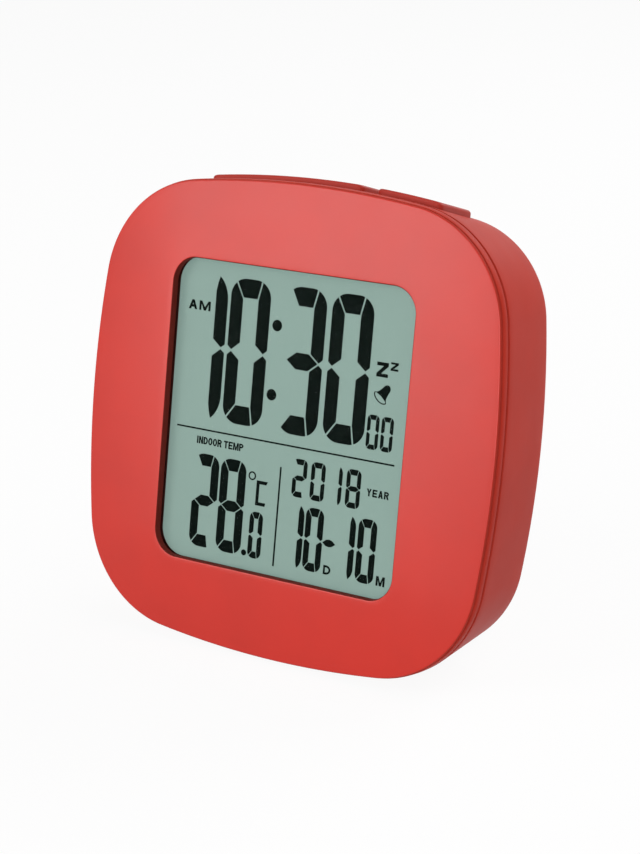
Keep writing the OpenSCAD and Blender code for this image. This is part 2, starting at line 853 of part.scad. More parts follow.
module rear_button(i) {
  x = row_left + i * button_pitch;
  edge = 0.4;
  color("#303033") placed() {
    rod(x, row_z, plunger_end + touch, flange_y + 0.1, plunger_r);
    rod(x, row_z, flange_y, flange_y + row_flange_t, button_r + flange_lap);
    rod(x, row_z, flange_y + 0.1, body_d + button_h - edge, button_r);
    translate([x, body_d + button_h - edge, row_z])
      rotate([-90, 0, 0])
        cylinder(r1 = button_r, r2 = button_r - edge, h = edge);
  }
}

module rear_plunger(i) {
  color("#d8d8d4") placed() on_row_board(row_left + i * button_pitch) switch_plunger();
}

module mode_button() { rear_button(0); }
module set_button() { rear_button(1); }
module up_button() { rear_button(2); }
module down_button() { rear_button(3); }
module mode_plunger() { rear_plunger(0); }
module set_plunger() { rear_plunger(1); }
module up_plunger() { rear_plunger(2); }
module down_plunger() { rear_plunger(3); }

slide_room = stem_w + slide_travel + 2 * gap;
slide_w = 2.5 * stem_w;
slide_wall = stem_w / 2;
slide_body_y = row_board_back + switch_h;
slide_floor = row_board_back + slide_wall;

module slide_switch() {
  color("#8f9296") placed()
    translate([slide_x, 0, row_z])
      difference() {
        slab(row_board_back, slide_body_y) square([slide_w, slide_room + 2 * slide_wall], center = true);
        slab(slide_floor, slide_body_y + 1) square([stem_w + 2 * gap, slide_room], center = true);
      }
}

module slide_knob() {
  cap_h = button_h;
  rib_w = stem_w / 4;
  color("#303033") placed()
    translate([slide_x, 0, row_z - slide_travel / 2]) {
      slab(slide_floor + fit, body_d + gap + 0.1) square(stem_w, center = true);
      difference() {
        slab(body_d + gap, body_d + gap + cap_h) round_rect(slide_w, slide_w, 0.3 * stem_w);
        for (i = [-1 : 1])
          translate([0, body_d + gap + cap_h, 0.6 * stem_w * i])
            cube([2 * slide_w, rib_w, rib_w], center = true);
      }
    }
}

module buzzer_disc() {
  color("#b8924a") placed() rod(0, buzzer_z, buzzer_seat - buzzer_t, buzzer_seat, buzzer_r);
}

module buzzer_ceramic() {
  color("#e4e0d4") placed()
    rod(0, buzzer_z, buzzer_seat - buzzer_t - ceramic_t, buzzer_seat - buzzer_t, 0.7 * buzzer_r);
}

// Cells and contacts: the upper cell's nub points right and the lower one's left.
nub_l = 0.9;
cell_x = bay_w / 2 - contact_t - gap;

module cell_solid() {
  translate([cell_x, 0, 0])
    rotate([0, -90, 0]) {
      cylinder(r = 1.9, h = nub_l + 0.1);
      translate([0, 0, nub_l]) cylinder(r = cell_r, h = cell_l - nub_l);
    }
}

module cells() {
  color("#3c5a78") placed() {
    translate([0, cell_y, upper_cell_z]) cell_solid();
    translate([0, cell_y, lower_cell_z]) mirror([1, 0, 0]) cell_solid();
  }
}

contact_y0 = body_d + gap + 0.7;
contact_y1 = door_y - gap - 0.7;

module contact_plate(z0, z1) {
  translate([bay_w / 2 - contact_t, contact_y0, z0])
    cube([contact_t, contact_y1 - contact_y0, z1 - z0]);
}

module solder_tab(z) {
  translate([bay_w / 2 - contact_t, tab_y, z - tab_h / 2])
    cube([contact_t, contact_y0 - tab_y + 0.1, tab_h]);
}

module link_contact() {
  color("#c9ccce") placed()
    mirror([1, 0, 0]) contact_plate(lower_cell_z - cell_r + 0.8, upper_cell_z + cell_r - 0.8);
}

module positive_contact() {
  color("#c9ccce") placed() {
    contact_plate(upper_cell_z - cell_r + 1, upper_cell_z + cell_r - 1);
    solder_tab(upper_cell_z);
  }
}

module negative_contact() {
  color("#c9ccce") placed() {
    contact_plate(lower_cell_z - cell_r + 1, lower_cell_z + cell_r - 1);
    solder_tab(lower_cell_z);
  }
}

// A contact spring: one tube wound round its axis, wide on its plate and narrow on its cell.
spring_turns = 4;
spring_wide = 3.4;
spring_narrow = 2.2;
wire_r = 0.25;
turn_steps = 8;
wire_sides = 6;
spring_steps = spring_turns * turn_steps;
spring_rise = spring_l - 2 * (wire_r + touch);

function spring_point(i, out, up) =
  let (a = 360 * i / turn_steps,
       r = spring_wide + (spring_narrow - spring_wide) * i / spring_steps + out)
    [r * cos(a), r * sin(a), wire_r + touch + spring_rise * i / spring_steps + up];

least_turn_gap = min([for (i = [0 : spring_steps - turn_steps]) for (j = [i + turn_steps / 2 : spring_steps])
  norm(spring_point(i, 0, 0) - spring_point(j, 0, 0))]) - 2 * wire_r;

module contact_spring(z) {
  n = wire_sides;
  points = [for (i = [0 : spring_steps]) for (k = [0 : n - 1])
    spring_point(i, wire_r * cos(360 * k / n), wire_r * sin(360 * k / n))];
  sides = [for (i = [0 : spring_steps - 1]) for (k = [0 : n - 1])
    let (a = i * n + k, b = i * n + (k + 1) % n)
      each [[a, b, b + n], [a, b + n, a + n]]];
  start = [for (k = [1 : n - 2]) [0, k + 1, k]];
  end = [for (k = [1 : n - 2]) [for (v = [0, k, k + 1]) spring_steps * n + v]];
  translate([bay_w / 2 - contact_t, cell_y, z])
    rotate([0, -90, 0])
      polyhedron(points, concat(sides, start, end));
}

module contact_springs() {
  echo(least_gap_of_a_spring_to_itself = least_turn_gap);
  color("#d2d4d6") placed() {
    contact_spring(lower_cell_z);
    mirror([1, 0, 0]) contact_spring(upper_cell_z);
  }
}

module battery_leads() {
  color("#a03028") placed()
    for (z = [lower_cell_z, upper_cell_z]) rod(tab_x, z, board_back, tab_y, lead_r);
}

module ribbon_cables() {
  ribbon_t = 0.6;
  ribbon_w = 8;
  row_ribbon_z = row_z - row_post_z;
  key_ribbon_y = key_board_front + 1;
  key_ribbon_z = holder_top - 4;
  color("#b9bcc0") placed() {
    translate([-ribbon_w / 2, board_back, row_ribbon_z])
      cube([ribbon_w, row_board_front - board_back, ribbon_t]);
    translate([snooze_mid - ribbon_w / 2, board_back, key_ribbon_z])
      cube([ribbon_w, key_ribbon_y + ribbon_t - board_back, ribbon_t]);
    translate([snooze_mid - ribbon_w / 2, key_ribbon_y, key_ribbon_z])
      cube([ribbon_w, ribbon_t, key_board_z - board_t - key_ribbon_z]);
  }
}

module battery_door() {
  grip_w = 16;
  color("#b8443c") placed()
    difference() {
      for (y = [[door_y, housing_d, door_half],
                [door_y + gap, door_y + gap + door_tongue, door_half + door_tongue]])
        slab(y[0], y[1])
          translate([-y[2], bay_bottom + gap])
            square([2 * y[2], housing_top - bay_bottom - gap]);
      for (i = [0 : 3])
        translate([0, housing_d, bay_top - 3 - 1.6 * i])
          cube([grip_w, 1, 0.7], center = true);
    }
}

front_case();
rear_case();
display_window();
lcd_front_glass();
lcd_segments();
lcd_rear_glass();
lcd_holder();
light_guide();
backlight_lamps();
elastomer_strip();
main_board();
chip_blob();
quartz_can();
thermistor();
board_screws();
case_screws();
snooze_key();
alarm_key();
top_key_board();
top_switches();
snooze_plungers();
alarm_plunger();
button_board();
rear_switches();
mode_button();
set_button();
up_button();
down_button();
mode_plunger();
set_plunger();
up_plunger();
down_plunger();
slide_switch();
slide_knob();
buzzer_disc();
buzzer_ceramic();
cells();
link_contact();
positive_contact();
negative_contact();
contact_springs();
battery_leads();
ribbon_cables();
battery_door();
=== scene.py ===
import json
import math

import bmesh
import bpy
from mathutils import Matrix, Vector

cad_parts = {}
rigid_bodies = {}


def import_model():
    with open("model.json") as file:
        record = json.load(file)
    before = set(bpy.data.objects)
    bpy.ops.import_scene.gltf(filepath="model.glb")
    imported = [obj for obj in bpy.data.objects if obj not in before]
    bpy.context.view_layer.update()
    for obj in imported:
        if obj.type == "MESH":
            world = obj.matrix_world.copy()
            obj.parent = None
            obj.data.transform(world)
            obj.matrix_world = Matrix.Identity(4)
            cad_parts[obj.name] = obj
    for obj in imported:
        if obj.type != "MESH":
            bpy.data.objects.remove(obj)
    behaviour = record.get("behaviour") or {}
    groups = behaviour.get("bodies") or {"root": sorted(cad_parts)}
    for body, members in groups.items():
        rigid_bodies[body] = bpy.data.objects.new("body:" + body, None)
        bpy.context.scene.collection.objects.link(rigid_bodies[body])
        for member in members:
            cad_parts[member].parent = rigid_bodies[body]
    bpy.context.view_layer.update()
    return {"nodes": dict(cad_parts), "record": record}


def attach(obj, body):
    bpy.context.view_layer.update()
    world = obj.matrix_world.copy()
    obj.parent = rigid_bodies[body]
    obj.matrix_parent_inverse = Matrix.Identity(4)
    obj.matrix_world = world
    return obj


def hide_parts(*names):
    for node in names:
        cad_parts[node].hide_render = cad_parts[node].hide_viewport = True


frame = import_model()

MM = 0.001

# Sizes in millimetres, as in the part's source, in the case's own frame: x across the face,
# y back from the face's edge, z up the face.

# Outline and lean of the face, and the dome of its front
FACE_HALF, BOW_R, CORNER_R, LEAN = 43.25, 190.0, 21.0, math.radians(8.8)
CROWN, DOME_REACH = 1.25, 30.0
# Shells: walls, depths, draft, the back's round edge, and how the case stands
WALL, FACE_D, RIM_D, FLARE, BODY_D = 2.0, 2.0, 3.0, 0.2, 25.5
DRAFT, REAR_EDGE_R, FRONT_LIFT, BASE_MID_Y = math.radians(8), 5.0, 0.8, 12.0
# Groove behind the face's edge, and the joint of the two shells
GROOVE_W, GROOVE_D, TONGUE_IN, TONGUE_END, SEAM_D = 0.46, 0.3, 1.0, 4.4, 2.7
# Window, the pocket behind it, the display's figures, and a dark ring round the display that is
# painted shade under the window's lip
WINDOW_W, WINDOW_H, WINDOW_R, LIP_BACK = 51.4, 55.7, 4.8, 0.5
POCKET_W, POCKET_H, POCKET_R, POCKET_Z = 60.4, 68.7, 4.2, -2.0
FIGURE_FRONT, FIGURE_BACK, SHADE_RING_BACK = 1.61, 1.66, 1.65
SHADE_RING_W, SHADE_RING_H, SHADE_RING_R, SHADE_RING_GAP = 55.6, 59.9, 1.0, 0.25
# Posts of the case screws with their tubes and holes, and the ears under the main board
BOSS_X, BOSS_Z, BOSS_R, BOSS_END, POST_LAP = 34.0, 16.0, 3.2, 12.0, 0.3
TUBE_R, TUBE_END, SCREW_SEAT, HEAD_R, SCREW_R = 3.7, 22.6, 16.0, 2.7, 1.35
EAR_X, EAR_Z, EAR_R, BOARD_Y = 32.5, 25.5, 2.2, 5.97
# Top keys
KEY_FRONT, KEY_DEPTH, KEY_H, KEY_R = 5.9, 12.0, 1.2, 1.2
SNOOZE_LEFT, SNOOZE_W, SNOOZE_STEMS = -23.9, 32.6, (-16.6, 1.4)
ALARM_LEFT, ALARM_W, ALARM_STEMS = 11.7, 13.2, (18.3,)
UNDER_WALL, UNDER_KEY, FLANGE_LAP = 2.32, 3.22, 1.0
STEM_END, STEM_R, STEM_LAP = 36.5, 1.7, 0.2
# Rear buttons, slide switch and sound holes
ROW_Z, BUTTON_XS, BUTTON_R, BUTTON_H = 2.0, (-24.0, -13.0, -2.0, 9.0), 3.8, 1.2
FLANGE_Y, FLANGE_T, BUTTON_STEM_Y = 22.5, 0.8, 22.15
SLIDE_X, SLIDE_TRAVEL, SLIDE_STEM, SLIDE_STEM_Y, KNOB_HALF = 22.0, 4.0, 2.0, 19.8, 2.5
BUZZER_Z, SOUND_RING, SOUND_R = 24.25, 4.5, 0.8
# Cells with their contacts, the housing round them and its door. GAP is the play between pieces.
CELL_R, CELL_L, SPRING_L, CONTACT_T, GAP = 5.25, 44.5, 4.2, 0.4, 0.3
BAY_LIFT, HOUSING_WALL, HOUSING_CUT, HOUSING_R, RAIL_WALL = 5.2, 2.2, 5.0, 3.0, 2.1
DOOR_T, DOOR_LAP, DOOR_TONGUE, FOOT_X, FOOT_W = 2.2, 1.6, 0.8, 21.0, 5.0
# How far a cut reaches past what it cuts, and the depths between which the back is cut
CLEAR, CUT_FROM, CUT_TO = 1.0, 22.0, 27.0
# Points closer than this become one
MERGE = 1e-4

SIDE_STEPS, CORNER_STEPS = 20, 40
SIDE_C = FACE_HALF - BOW_R
CORNER_C = (SIDE_C + math.sqrt(2 * (BOW_R - CORNER_R) ** 2 - SIDE_C**2)) / 2
CORNER_A = math.atan2(CORNER_C, CORNER_C - SIDE_C)
FOUR_WAYS = ((-1, -1), (-1, 1), (1, -1), (1, 1))
STAND_Z = (FACE_HALF + FRONT_LIFT) * math.cos(LEAN)
BAY_HALF = (CELL_L + SPRING_L + GAP) / 2 + CONTACT_T
CELL_Y = BODY_D + GAP + CELL_R
DOOR_Y = CELL_Y + CELL_R + GAP
HOUSING_D = DOOR_Y + DOOR_T
DOOR_HALF = BAY_HALF + DOOR_LAP
HOUSING_HALF = DOOR_HALF + GAP + RAIL_WALL


def table_z(y):
    """Height of the table at a depth, in the leaning case's frame."""
    return -FACE_HALF - FRONT_LIFT + y * math.tan(LEAN)


BAY_BOTTOM = table_z(HOUSING_D) + BAY_LIFT
BAY_TOP = BAY_BOTTOM + 4 * CELL_R + 3 * GAP
HOUSING_TOP = BAY_TOP + HOUSING_WALL
LOWER_CELL_Z = BAY_BOTTOM + GAP + CELL_R
UPPER_CELL_Z = LOWER_CELL_Z + 2 * CELL_R + GAP
CASE = (
    Matrix.Scale(MM, 4)
    @ Matrix.Translation((0, -BASE_MID_Y, STAND_Z))
    @ Matrix.Rotation(-LEAN, 4, "X")
)


def place(name, data):
    """A new object of that data in the scene."""
    thing = bpy.data.objects.new(name, data)
    bpy.context.scene.collection.objects.link(thing)
    return thing


# Camera
def direction(azimuth, elevation):
    """The way out from the clock, in degrees right of its front and above the table."""
    a, e = math.radians(azimuth), math.radians(elevation)
    return Vector((math.sin(a) * math.cos(e), -math.cos(a) * math.cos(e), math.sin(e)))


def add_camera():
    """The photograph's view in metres, fitted to the outlines of the face and its window."""
    azimuth, elevation = 32.903, 16.55
    across, below, ahead = -0.006665, -0.000255, 0.4083
    back = direction(azimuth, elevation)
    a = math.radians(azimuth)
    right = Vector((math.cos(a), math.sin(a), 0))
    up = back.cross(right)
    face_middle = CASE @ Vector()
    data = bpy.data.cameras.new("camera")
    data.sensor_width, data.lens = 36, 95.885
    data.clip_start, data.clip_end = 0.01, 100
    camera = place("camera", data)
    turn = Matrix((right, up, back)).transposed().to_4x4()
    where = face_middle - across * right + below * up + ahead * back
    camera.matrix_world = Matrix.Translation(where) @ turn
    bpy.context.scene.camera = camera


# Materials, each under its name. The noise scales count per metre.
MATERIALS = {}
GLOSS_SPREAD, GRAIN_DEPTH = 0.04, 0.0002


def new_material(name):
    MATERIALS[name] = material = bpy.data.materials.new(name)
    material.use_nodes = True
    nodes, links = material.node_tree.nodes, material.node_tree.links
    return nodes, links, nodes["Principled BSDF"]


def put(node, values):
    """Sets sockets of a node to plain values."""
    for socket, value in values.items():
        node.inputs[socket].default_value = value


def noise(nodes, links, scale, detail=3):
    where = nodes.new("ShaderNodeTexCoord")
    texture = nodes.new("ShaderNodeTexNoise")
    put(texture, {"Scale": scale, "Detail": detail})
    links.new(where.outputs["Object"], texture.inputs["Vector"])
    return texture.outputs["Fac"]


def ramp(nodes, links, factor, low, high, first=0.35, last=0.65):
    """A colour that goes from low to high between two values of the factor."""
    colours = nodes.new("ShaderNodeValToRGB")
    start, end = colours.color_ramp.elements
    start.position, end.position = first, last
    start.color, end.color = (*low, 1), (*high, 1)
    links.new(factor, colours.inputs["Fac"])
    return colours.outputs["Color"]


def mixed(nodes, links, factor, first, second, output):
    """Shows the second of two shaders by a factor, and the first by the rest."""
    mix = nodes.new("ShaderNodeMixShader")
    links.new(factor, mix.inputs["Fac"])
    links.new(first, mix.inputs[1])
    links.new(second, mix.inputs[2])
    links.new(mix.outputs["Shader"], nodes[output].inputs["Surface"])


def surface(
    name, colour, rough, spread=0.04, blotch=60, grain=2500, bump=0.02, metal=0.0, specular=0.5
):
    """Moulded or rolled stuff: colour that drifts a little, uneven gloss and a fine grain."""
    nodes, links, shader = new_material(name)
    low = [c * (1 - spread) for c in colour]
    high = [min(1, c * (1 + spread)) for c in colour]
    drift = ramp(nodes, links, noise(nodes, links, blotch), low, high)
    links.new(drift, shader.inputs["Base Color"])
    gloss = nodes.new("ShaderNodeMapRange")
    put(gloss, {"To Min": rough - GLOSS_SPREAD, "To Max": rough + GLOSS_SPREAD})
    links.new(noise(nodes, links, 3 * blotch), gloss.inputs["Value"])
    links.new(gloss.outputs["Result"], shader.inputs["Roughness"])
    relief = nodes.new("ShaderNodeBump")
    put(relief, {"Strength": bump, "Distance": GRAIN_DEPTH})
    links.new(noise(nodes, links, grain), relief.inputs["Height"])
    links.new(relief.outputs["Normal"], shader.inputs["Normal"])
    put(shader, {"Metallic": metal, "Specular IOR Level": specular})


def clear(name, ior, dust):
    """A clear sheet: seen through, with the sheen of its surface and a trace of dust."""
    nodes, links, shader = new_material(name)
    put(shader, {"Base Color": (0.9, 0.95, 0.94, 1), "Metallic": 1, "Roughness": 0.06})
    fresnel = nodes.new("ShaderNodeFresnel")
    put(fresnel, {"IOR": ior})
    haze = nodes.new("ShaderNodeMath")
    haze.operation = "MULTIPLY_ADD"
    links.new(noise(nodes, links, scale=900, detail=6), haze.inputs[0])
    put(haze, {1: dust})
    links.new(fresnel.outputs["Fac"], haze.inputs[2])
    through = nodes.new("ShaderNodeBsdfTransparent")
    sheet, sheen = through.outputs["BSDF"], shader.outputs["BSDF"]
    mixed(nodes, links, haze.outputs["Value"], sheet, sheen, "Material Output")


def board_green(name):
    """Solder mask over thin copper tracks."""
    nodes, links, shader = new_material(name)
    where = nodes.new("ShaderNodeTexCoord")
    tracks = nodes.new("ShaderNodeTexBrick")
    put(tracks, {"Color1": (0.02, 0.13, 0.05, 1), "Color2": (0.03, 0.16, 0.07, 1)})
    put(tracks, {"Mortar": (0.06, 0.26, 0.11, 1), "Scale": 120})
    links.new(where.outputs["Object"], tracks.inputs["Vector"])
    links.new(tracks.outputs["Color"], shader.inputs["Base Color"])
    put(shader, {"Roughness": 0.4})


# Each surface: name, colour, roughness, then where they aren't the usual ones the colour's
# spread, its blotches, the grain and the rest. Each clear sheet: name, refraction and dust.
surface("red_shell", (0.57, 0.015, 0.004), 0.30, bump=0.04, specular=0.45)
# The red of the sides, the rear shell and the door: its gloss is low and its browner tone is painted
# sheen.
surface("rear_red", (0.53, 0.034, 0.018), 0.45, bump=0.05, specular=0.06)
# The rim's red: less glossy, darker and browner than the face, which is painted sheen on the rim and
# painted shade in the groove and along the seam.
surface("rim_red", (0.47, 0.038, 0.023), 0.5, bump=0.05, specular=0.06)
# A dark copy of the shell's red: painted shade on the window's inner wall and the inner part of its
# rounded edge. The door's arrow is drawn in it too.
surface("painted_shade_and_arrow_red", (0.125, 0.012, 0.007), 0.6, specular=0.1)
surface("red_key", (0.44, 0.034, 0.020), 0.42, bump=0.05, specular=0.19)
clear("clear_window", 1.02, 0.0002)
clear("display_glass", 1.01, 0.0001)
surface("display_segments", (0.0054, 0.009, 0.0075), 0.6, specular=0.0)
surface("display_back", (0.124, 0.175, 0.151), 0.55, 0.02, 40, 4000, bump=0.03, specular=0.1)
# A dark ring round the display: painted shade under the window's lip
surface("painted_shade_ring", (0.06, 0.012, 0.009), 0.6, specular=0.2)
surface("holder_plastic", (0.80, 0.80, 0.77), 0.5)
surface("light_guide", (0.75, 0.82, 0.80), 0.25)
surface("lamp", (0.90, 0.86, 0.62), 0.25)
surface("elastomer", (0.04, 0.04, 0.042), 0.7)
board_green("board")
surface("epoxy", (0.008, 0.008, 0.009), 0.22, 0.2)
surface("can_metal", (0.62, 0.64, 0.66), 0.28, metal=1.0)
surface("bead", (0.05, 0.11, 0.27), 0.25)
surface("screw_steel", (0.42, 0.43, 0.44), 0.33, metal=1.0, bump=0.1)
surface("switch_body", (0.06, 0.063, 0.07), 0.5)
surface("plunger", (0.70, 0.70, 0.66), 0.45)
surface("dark_button", (0.030, 0.030, 0.033), 0.5, 0.08, bump=0.06)
surface("slide_metal", (0.40, 0.41, 0.42), 0.35, metal=1.0, bump=0.1)
surface("buzzer_brass", (0.60, 0.40, 0.13), 0.3, metal=1.0)
surface("ceramic", (0.76, 0.73, 0.65), 0.5)
surface("cell_jacket", (0.045, 0.10, 0.18), 0.3, 0.05)
surface("cell_band", (0.55, 0.33, 0.10), 0.3, 0.05, metal=0.6)
surface("contact", (0.58, 0.59, 0.60), 0.25, metal=1.0, bump=0.06)
surface("lead", (0.42, 0.03, 0.02), 0.45)
surface("ribbon", (0.48, 0.49, 0.50), 0.5)
surface("print", (0.72, 0.66, 0.62), 0.6, 0.05)

# Painted light: the back of the display glows evenly, which lightens the shadow of the window's lip
# on it
painted_glow = MATERIALS["display_back"].node_tree.nodes["Principled BSDF"]
put(painted_glow, {"Emission Color": (0.275, 0.40, 0.36, 1), "Emission Strength": 0.54})


# Meshes, made in the case's frame in millimetres
def finish_piece(name, mesh, body, slot, replaces=(), finishes=None, sharp=32, bevel=0.0):
    """Makes a mesh a piece of the object, with its slot's material unless finishes are given.
    Edges that turn by more than sharp degrees stay sharp, or are rounded by a bevel."""
    piece = place(name, mesh)
    mesh.name = name
    work = bmesh.new()
    work.from_mesh(mesh)
    bmesh.ops.remove_doubles(work, verts=work.verts, dist=MERGE)
    bmesh.ops.recalc_face_normals(work, faces=work.faces)
    for f in work.faces:
        f.smooth = True
    for e in work.edges:
        e.smooth = not (e.is_manifold and e.calc_face_angle(0) > math.radians(sharp))
    bmesh.ops.transform(work, matrix=CASE, verts=work.verts)
    work.to_mesh(mesh)
    work.free()
    for m in finishes or [slot]:
        mesh.materials.append(MATERIALS[m])
    if bevel:
        rounding = piece.modifiers.new("edges", "BEVEL")
        rounding.width, rounding.segments = bevel * MM, 2
        rounding.limit_method, rounding.angle_limit = "ANGLE", math.radians(sharp)
        rounding.harden_normals = True
    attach(piece, body)
    if replaces:
        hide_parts(*replaces)


def angles(count):
    """Evenly spaced angles round a full turn."""
    return [2 * math.pi * k / count for k in range(count)]


class Build:
    """Points and faces of one mesh. Each method adds a solid and returns the whole."""

    def __init__(self):
        self.points, self.faces, self.kinds = [], [], []

    def loft(self, rings, first=True, wrap=False, kinds=None):
        """Rings of equal length joined one to the next, with end caps or wrapped round on itself.
        kinds says which material the band behind each ring has."""
        n, m, start = len(rings[0]), len(rings), len(self.points)
        self.points += [p for r in rings for p in r]
        for i in range(m if wrap else m - 1):
            a, b = start + i * n, start + (i + 1) % m * n
            self.faces += [[a + j, a + (j + 1) % n, b + (j + 1) % n, b + j] for j in range(n)]
            self.kinds += [kinds[i] if kinds else 0] * n
        if first and not wrap:
            self.faces.append([start + j for j in reversed(range(n))])
            self.kinds.append(0)
        if not wrap:
            self.faces.append([start + (m - 1) * n + j for j in range(n)])
            self.kinds.append(0)
        return self

    def rod(self, x, z, profile, sides=40):
        """A solid turned about a line along the depth. The profile is radius and depth."""
        rings = []
        for r, y in profile:
            rings.append([(x + r * math.cos(a), y, z + r * math.sin(a)) for a in angles(sides)])
        return self.loft(rings)

    def upright(self, x, y, z0, z1, r, sides=32):
        """A round post between two heights."""
        ring = [(x + r * math.cos(a), y + r * math.sin(a)) for a in angles(sides)]
        return self.loft([[(u, v, z) for u, v in ring] for z in (z0, z1)])

    def box(self, x0, x1, y0, y1, z0, z1):
        return self.prism([(x0, z0), (x1, z0), (x1, z1), (x0, z1)], y0, y1)

    def prism(self, shape, y0, y1):
        """A flat shape in x and z, stretched from one depth to another."""
        return self.loft([at_depth(shape, y) for y in (y0, y1)])

    def mesh(self, name):
        made = bpy.data.meshes.new(name)
        made.from_pydata(self.points, [], self.faces)
        made.polygons.foreach_set("material_index", self.kinds)
        work = bmesh.new()
        work.from_mesh(made)
        bmesh.ops.recalc_face_normals(work, faces=work.faces)
        work.to_mesh(made)
        work.free()
        return made


def boolean(base, tools, operation):
    """base joined with, or cut by, the closed meshes in tools. Returns a new mesh."""
    work = place("work", base)
    group = bpy.data.collections.new("tools")
    bpy.context.scene.collection.children.link(group)
    for t in tools:
        group.objects.link(bpy.data.objects.new("tool", t.mesh("tool")))
    step = work.modifiers.new("step", "BOOLEAN")
    step.operand_type, step.collection = "COLLECTION", group
    step.operation, step.solver = operation, "EXACT"
    bpy.context.view_layer.update()
    seen = work.evaluated_get(bpy.context.evaluated_depsgraph_get())
    made = bpy.data.meshes.new_from_object(seen)
    for o in [*group.objects, work]:
        bpy.data.objects.remove(o)
    bpy.data.collections.remove(group)
    return made


def turned(first, second, middle=0.0):
    """A closed ring of two quarters, each used twice, turned on by a right angle each time."""
    ring = []
    for q, quarter in enumerate((first, second, first, second)):
        c, s = round(math.cos(q * math.pi / 2)), round(math.sin(q * math.pi / 2))
        ring += [(x * c - z * s, x * s + z * c + middle) for x, z in quarter]
    return ring


def outline(d):
    """The face's outline inset by d: four bowed sides and four round corners."""
    bow, r, corner = BOW_R - d, CORNER_R - d, math.pi / 2 - 2 * CORNER_A
    turn = [CORNER_A * (2 * i / SIDE_STEPS - 1) for i in range(SIDE_STEPS)]
    quarter = [(SIDE_C + bow * math.cos(a), bow * math.sin(a)) for a in turn]
    turn = [CORNER_A + corner * i / CORNER_STEPS for i in range(CORNER_STEPS)]
    quarter += [(CORNER_C + r * math.cos(a), CORNER_C + r * math.sin(a)) for a in turn]
    return turned(quarter, quarter)


def rounded(w, h, r, middle=0.0):
    """A rounded rectangle whose points pair with those of outline()."""
    turn = [math.pi / 2 * i / CORNER_STEPS for i in range(CORNER_STEPS)]
    quarters = []
    for across, along in ((w / 2, h / 2), (h / 2, w / 2)):
        quarter = [(across, (along - r) * (2 * i / SIDE_STEPS - 1)) for i in range(SIDE_STEPS)]
        quarter += [(across - r + r * math.cos(a), along - r + r * math.sin(a)) for a in turn]
        quarters.append(quarter)
    return turned(*quarters, middle)


def soft_polygon(corners, r, inset=0.0, steps=8):
    """A convex polygon, drawn in by an inset, with its corners rounded."""
    least_r = 0.1
    count, ring = len(corners), []
    r = max(r - inset, least_r)
    for i in range(count):
        before, here, after = (Vector(corners[j % count]) for j in (i - 1, i, i + 1))
        come, go = (here - before).normalized(), (after - here).normalized()
        turn = math.acos(max(-1, min(1, come.dot(go))))
        to_centre = (go - come).normalized()
        centre = here + to_centre * (inset + r) / math.cos(turn / 2)
        start = math.atan2(-come.x, come.y)
        for k in range(steps + 1):
            a = start + turn * k / steps
            ring.append((centre.x + r * math.cos(a), centre.y + r * math.sin(a)))
    return ring


def inset_of(x, z):
    """How far a point of the face lies inside the outline."""
    x, z = max(abs(x), abs(z)), min(abs(x), abs(z))
    if math.atan2(z, x - SIDE_C) <= CORNER_A:
        return BOW_R - math.hypot(x - SIDE_C, z)
    return CORNER_R - math.hypot(x - CORNER_C, z - CORNER_C)


def dome_at(inset):
    """Depth of the domed face at an inset from its outline."""
    return -CROWN * (1 - (1 - inset / DOME_REACH) ** 2)


def dome(x, z):
    return dome_at(inset_of(x, z))


def side_inset(y):
    """Inset of the drafted side at a depth."""
    return -FLARE + (y - RIM_D) * math.tan(DRAFT)


def at_depth(ring, y):
    return [(x, y, z) for x, z in ring]


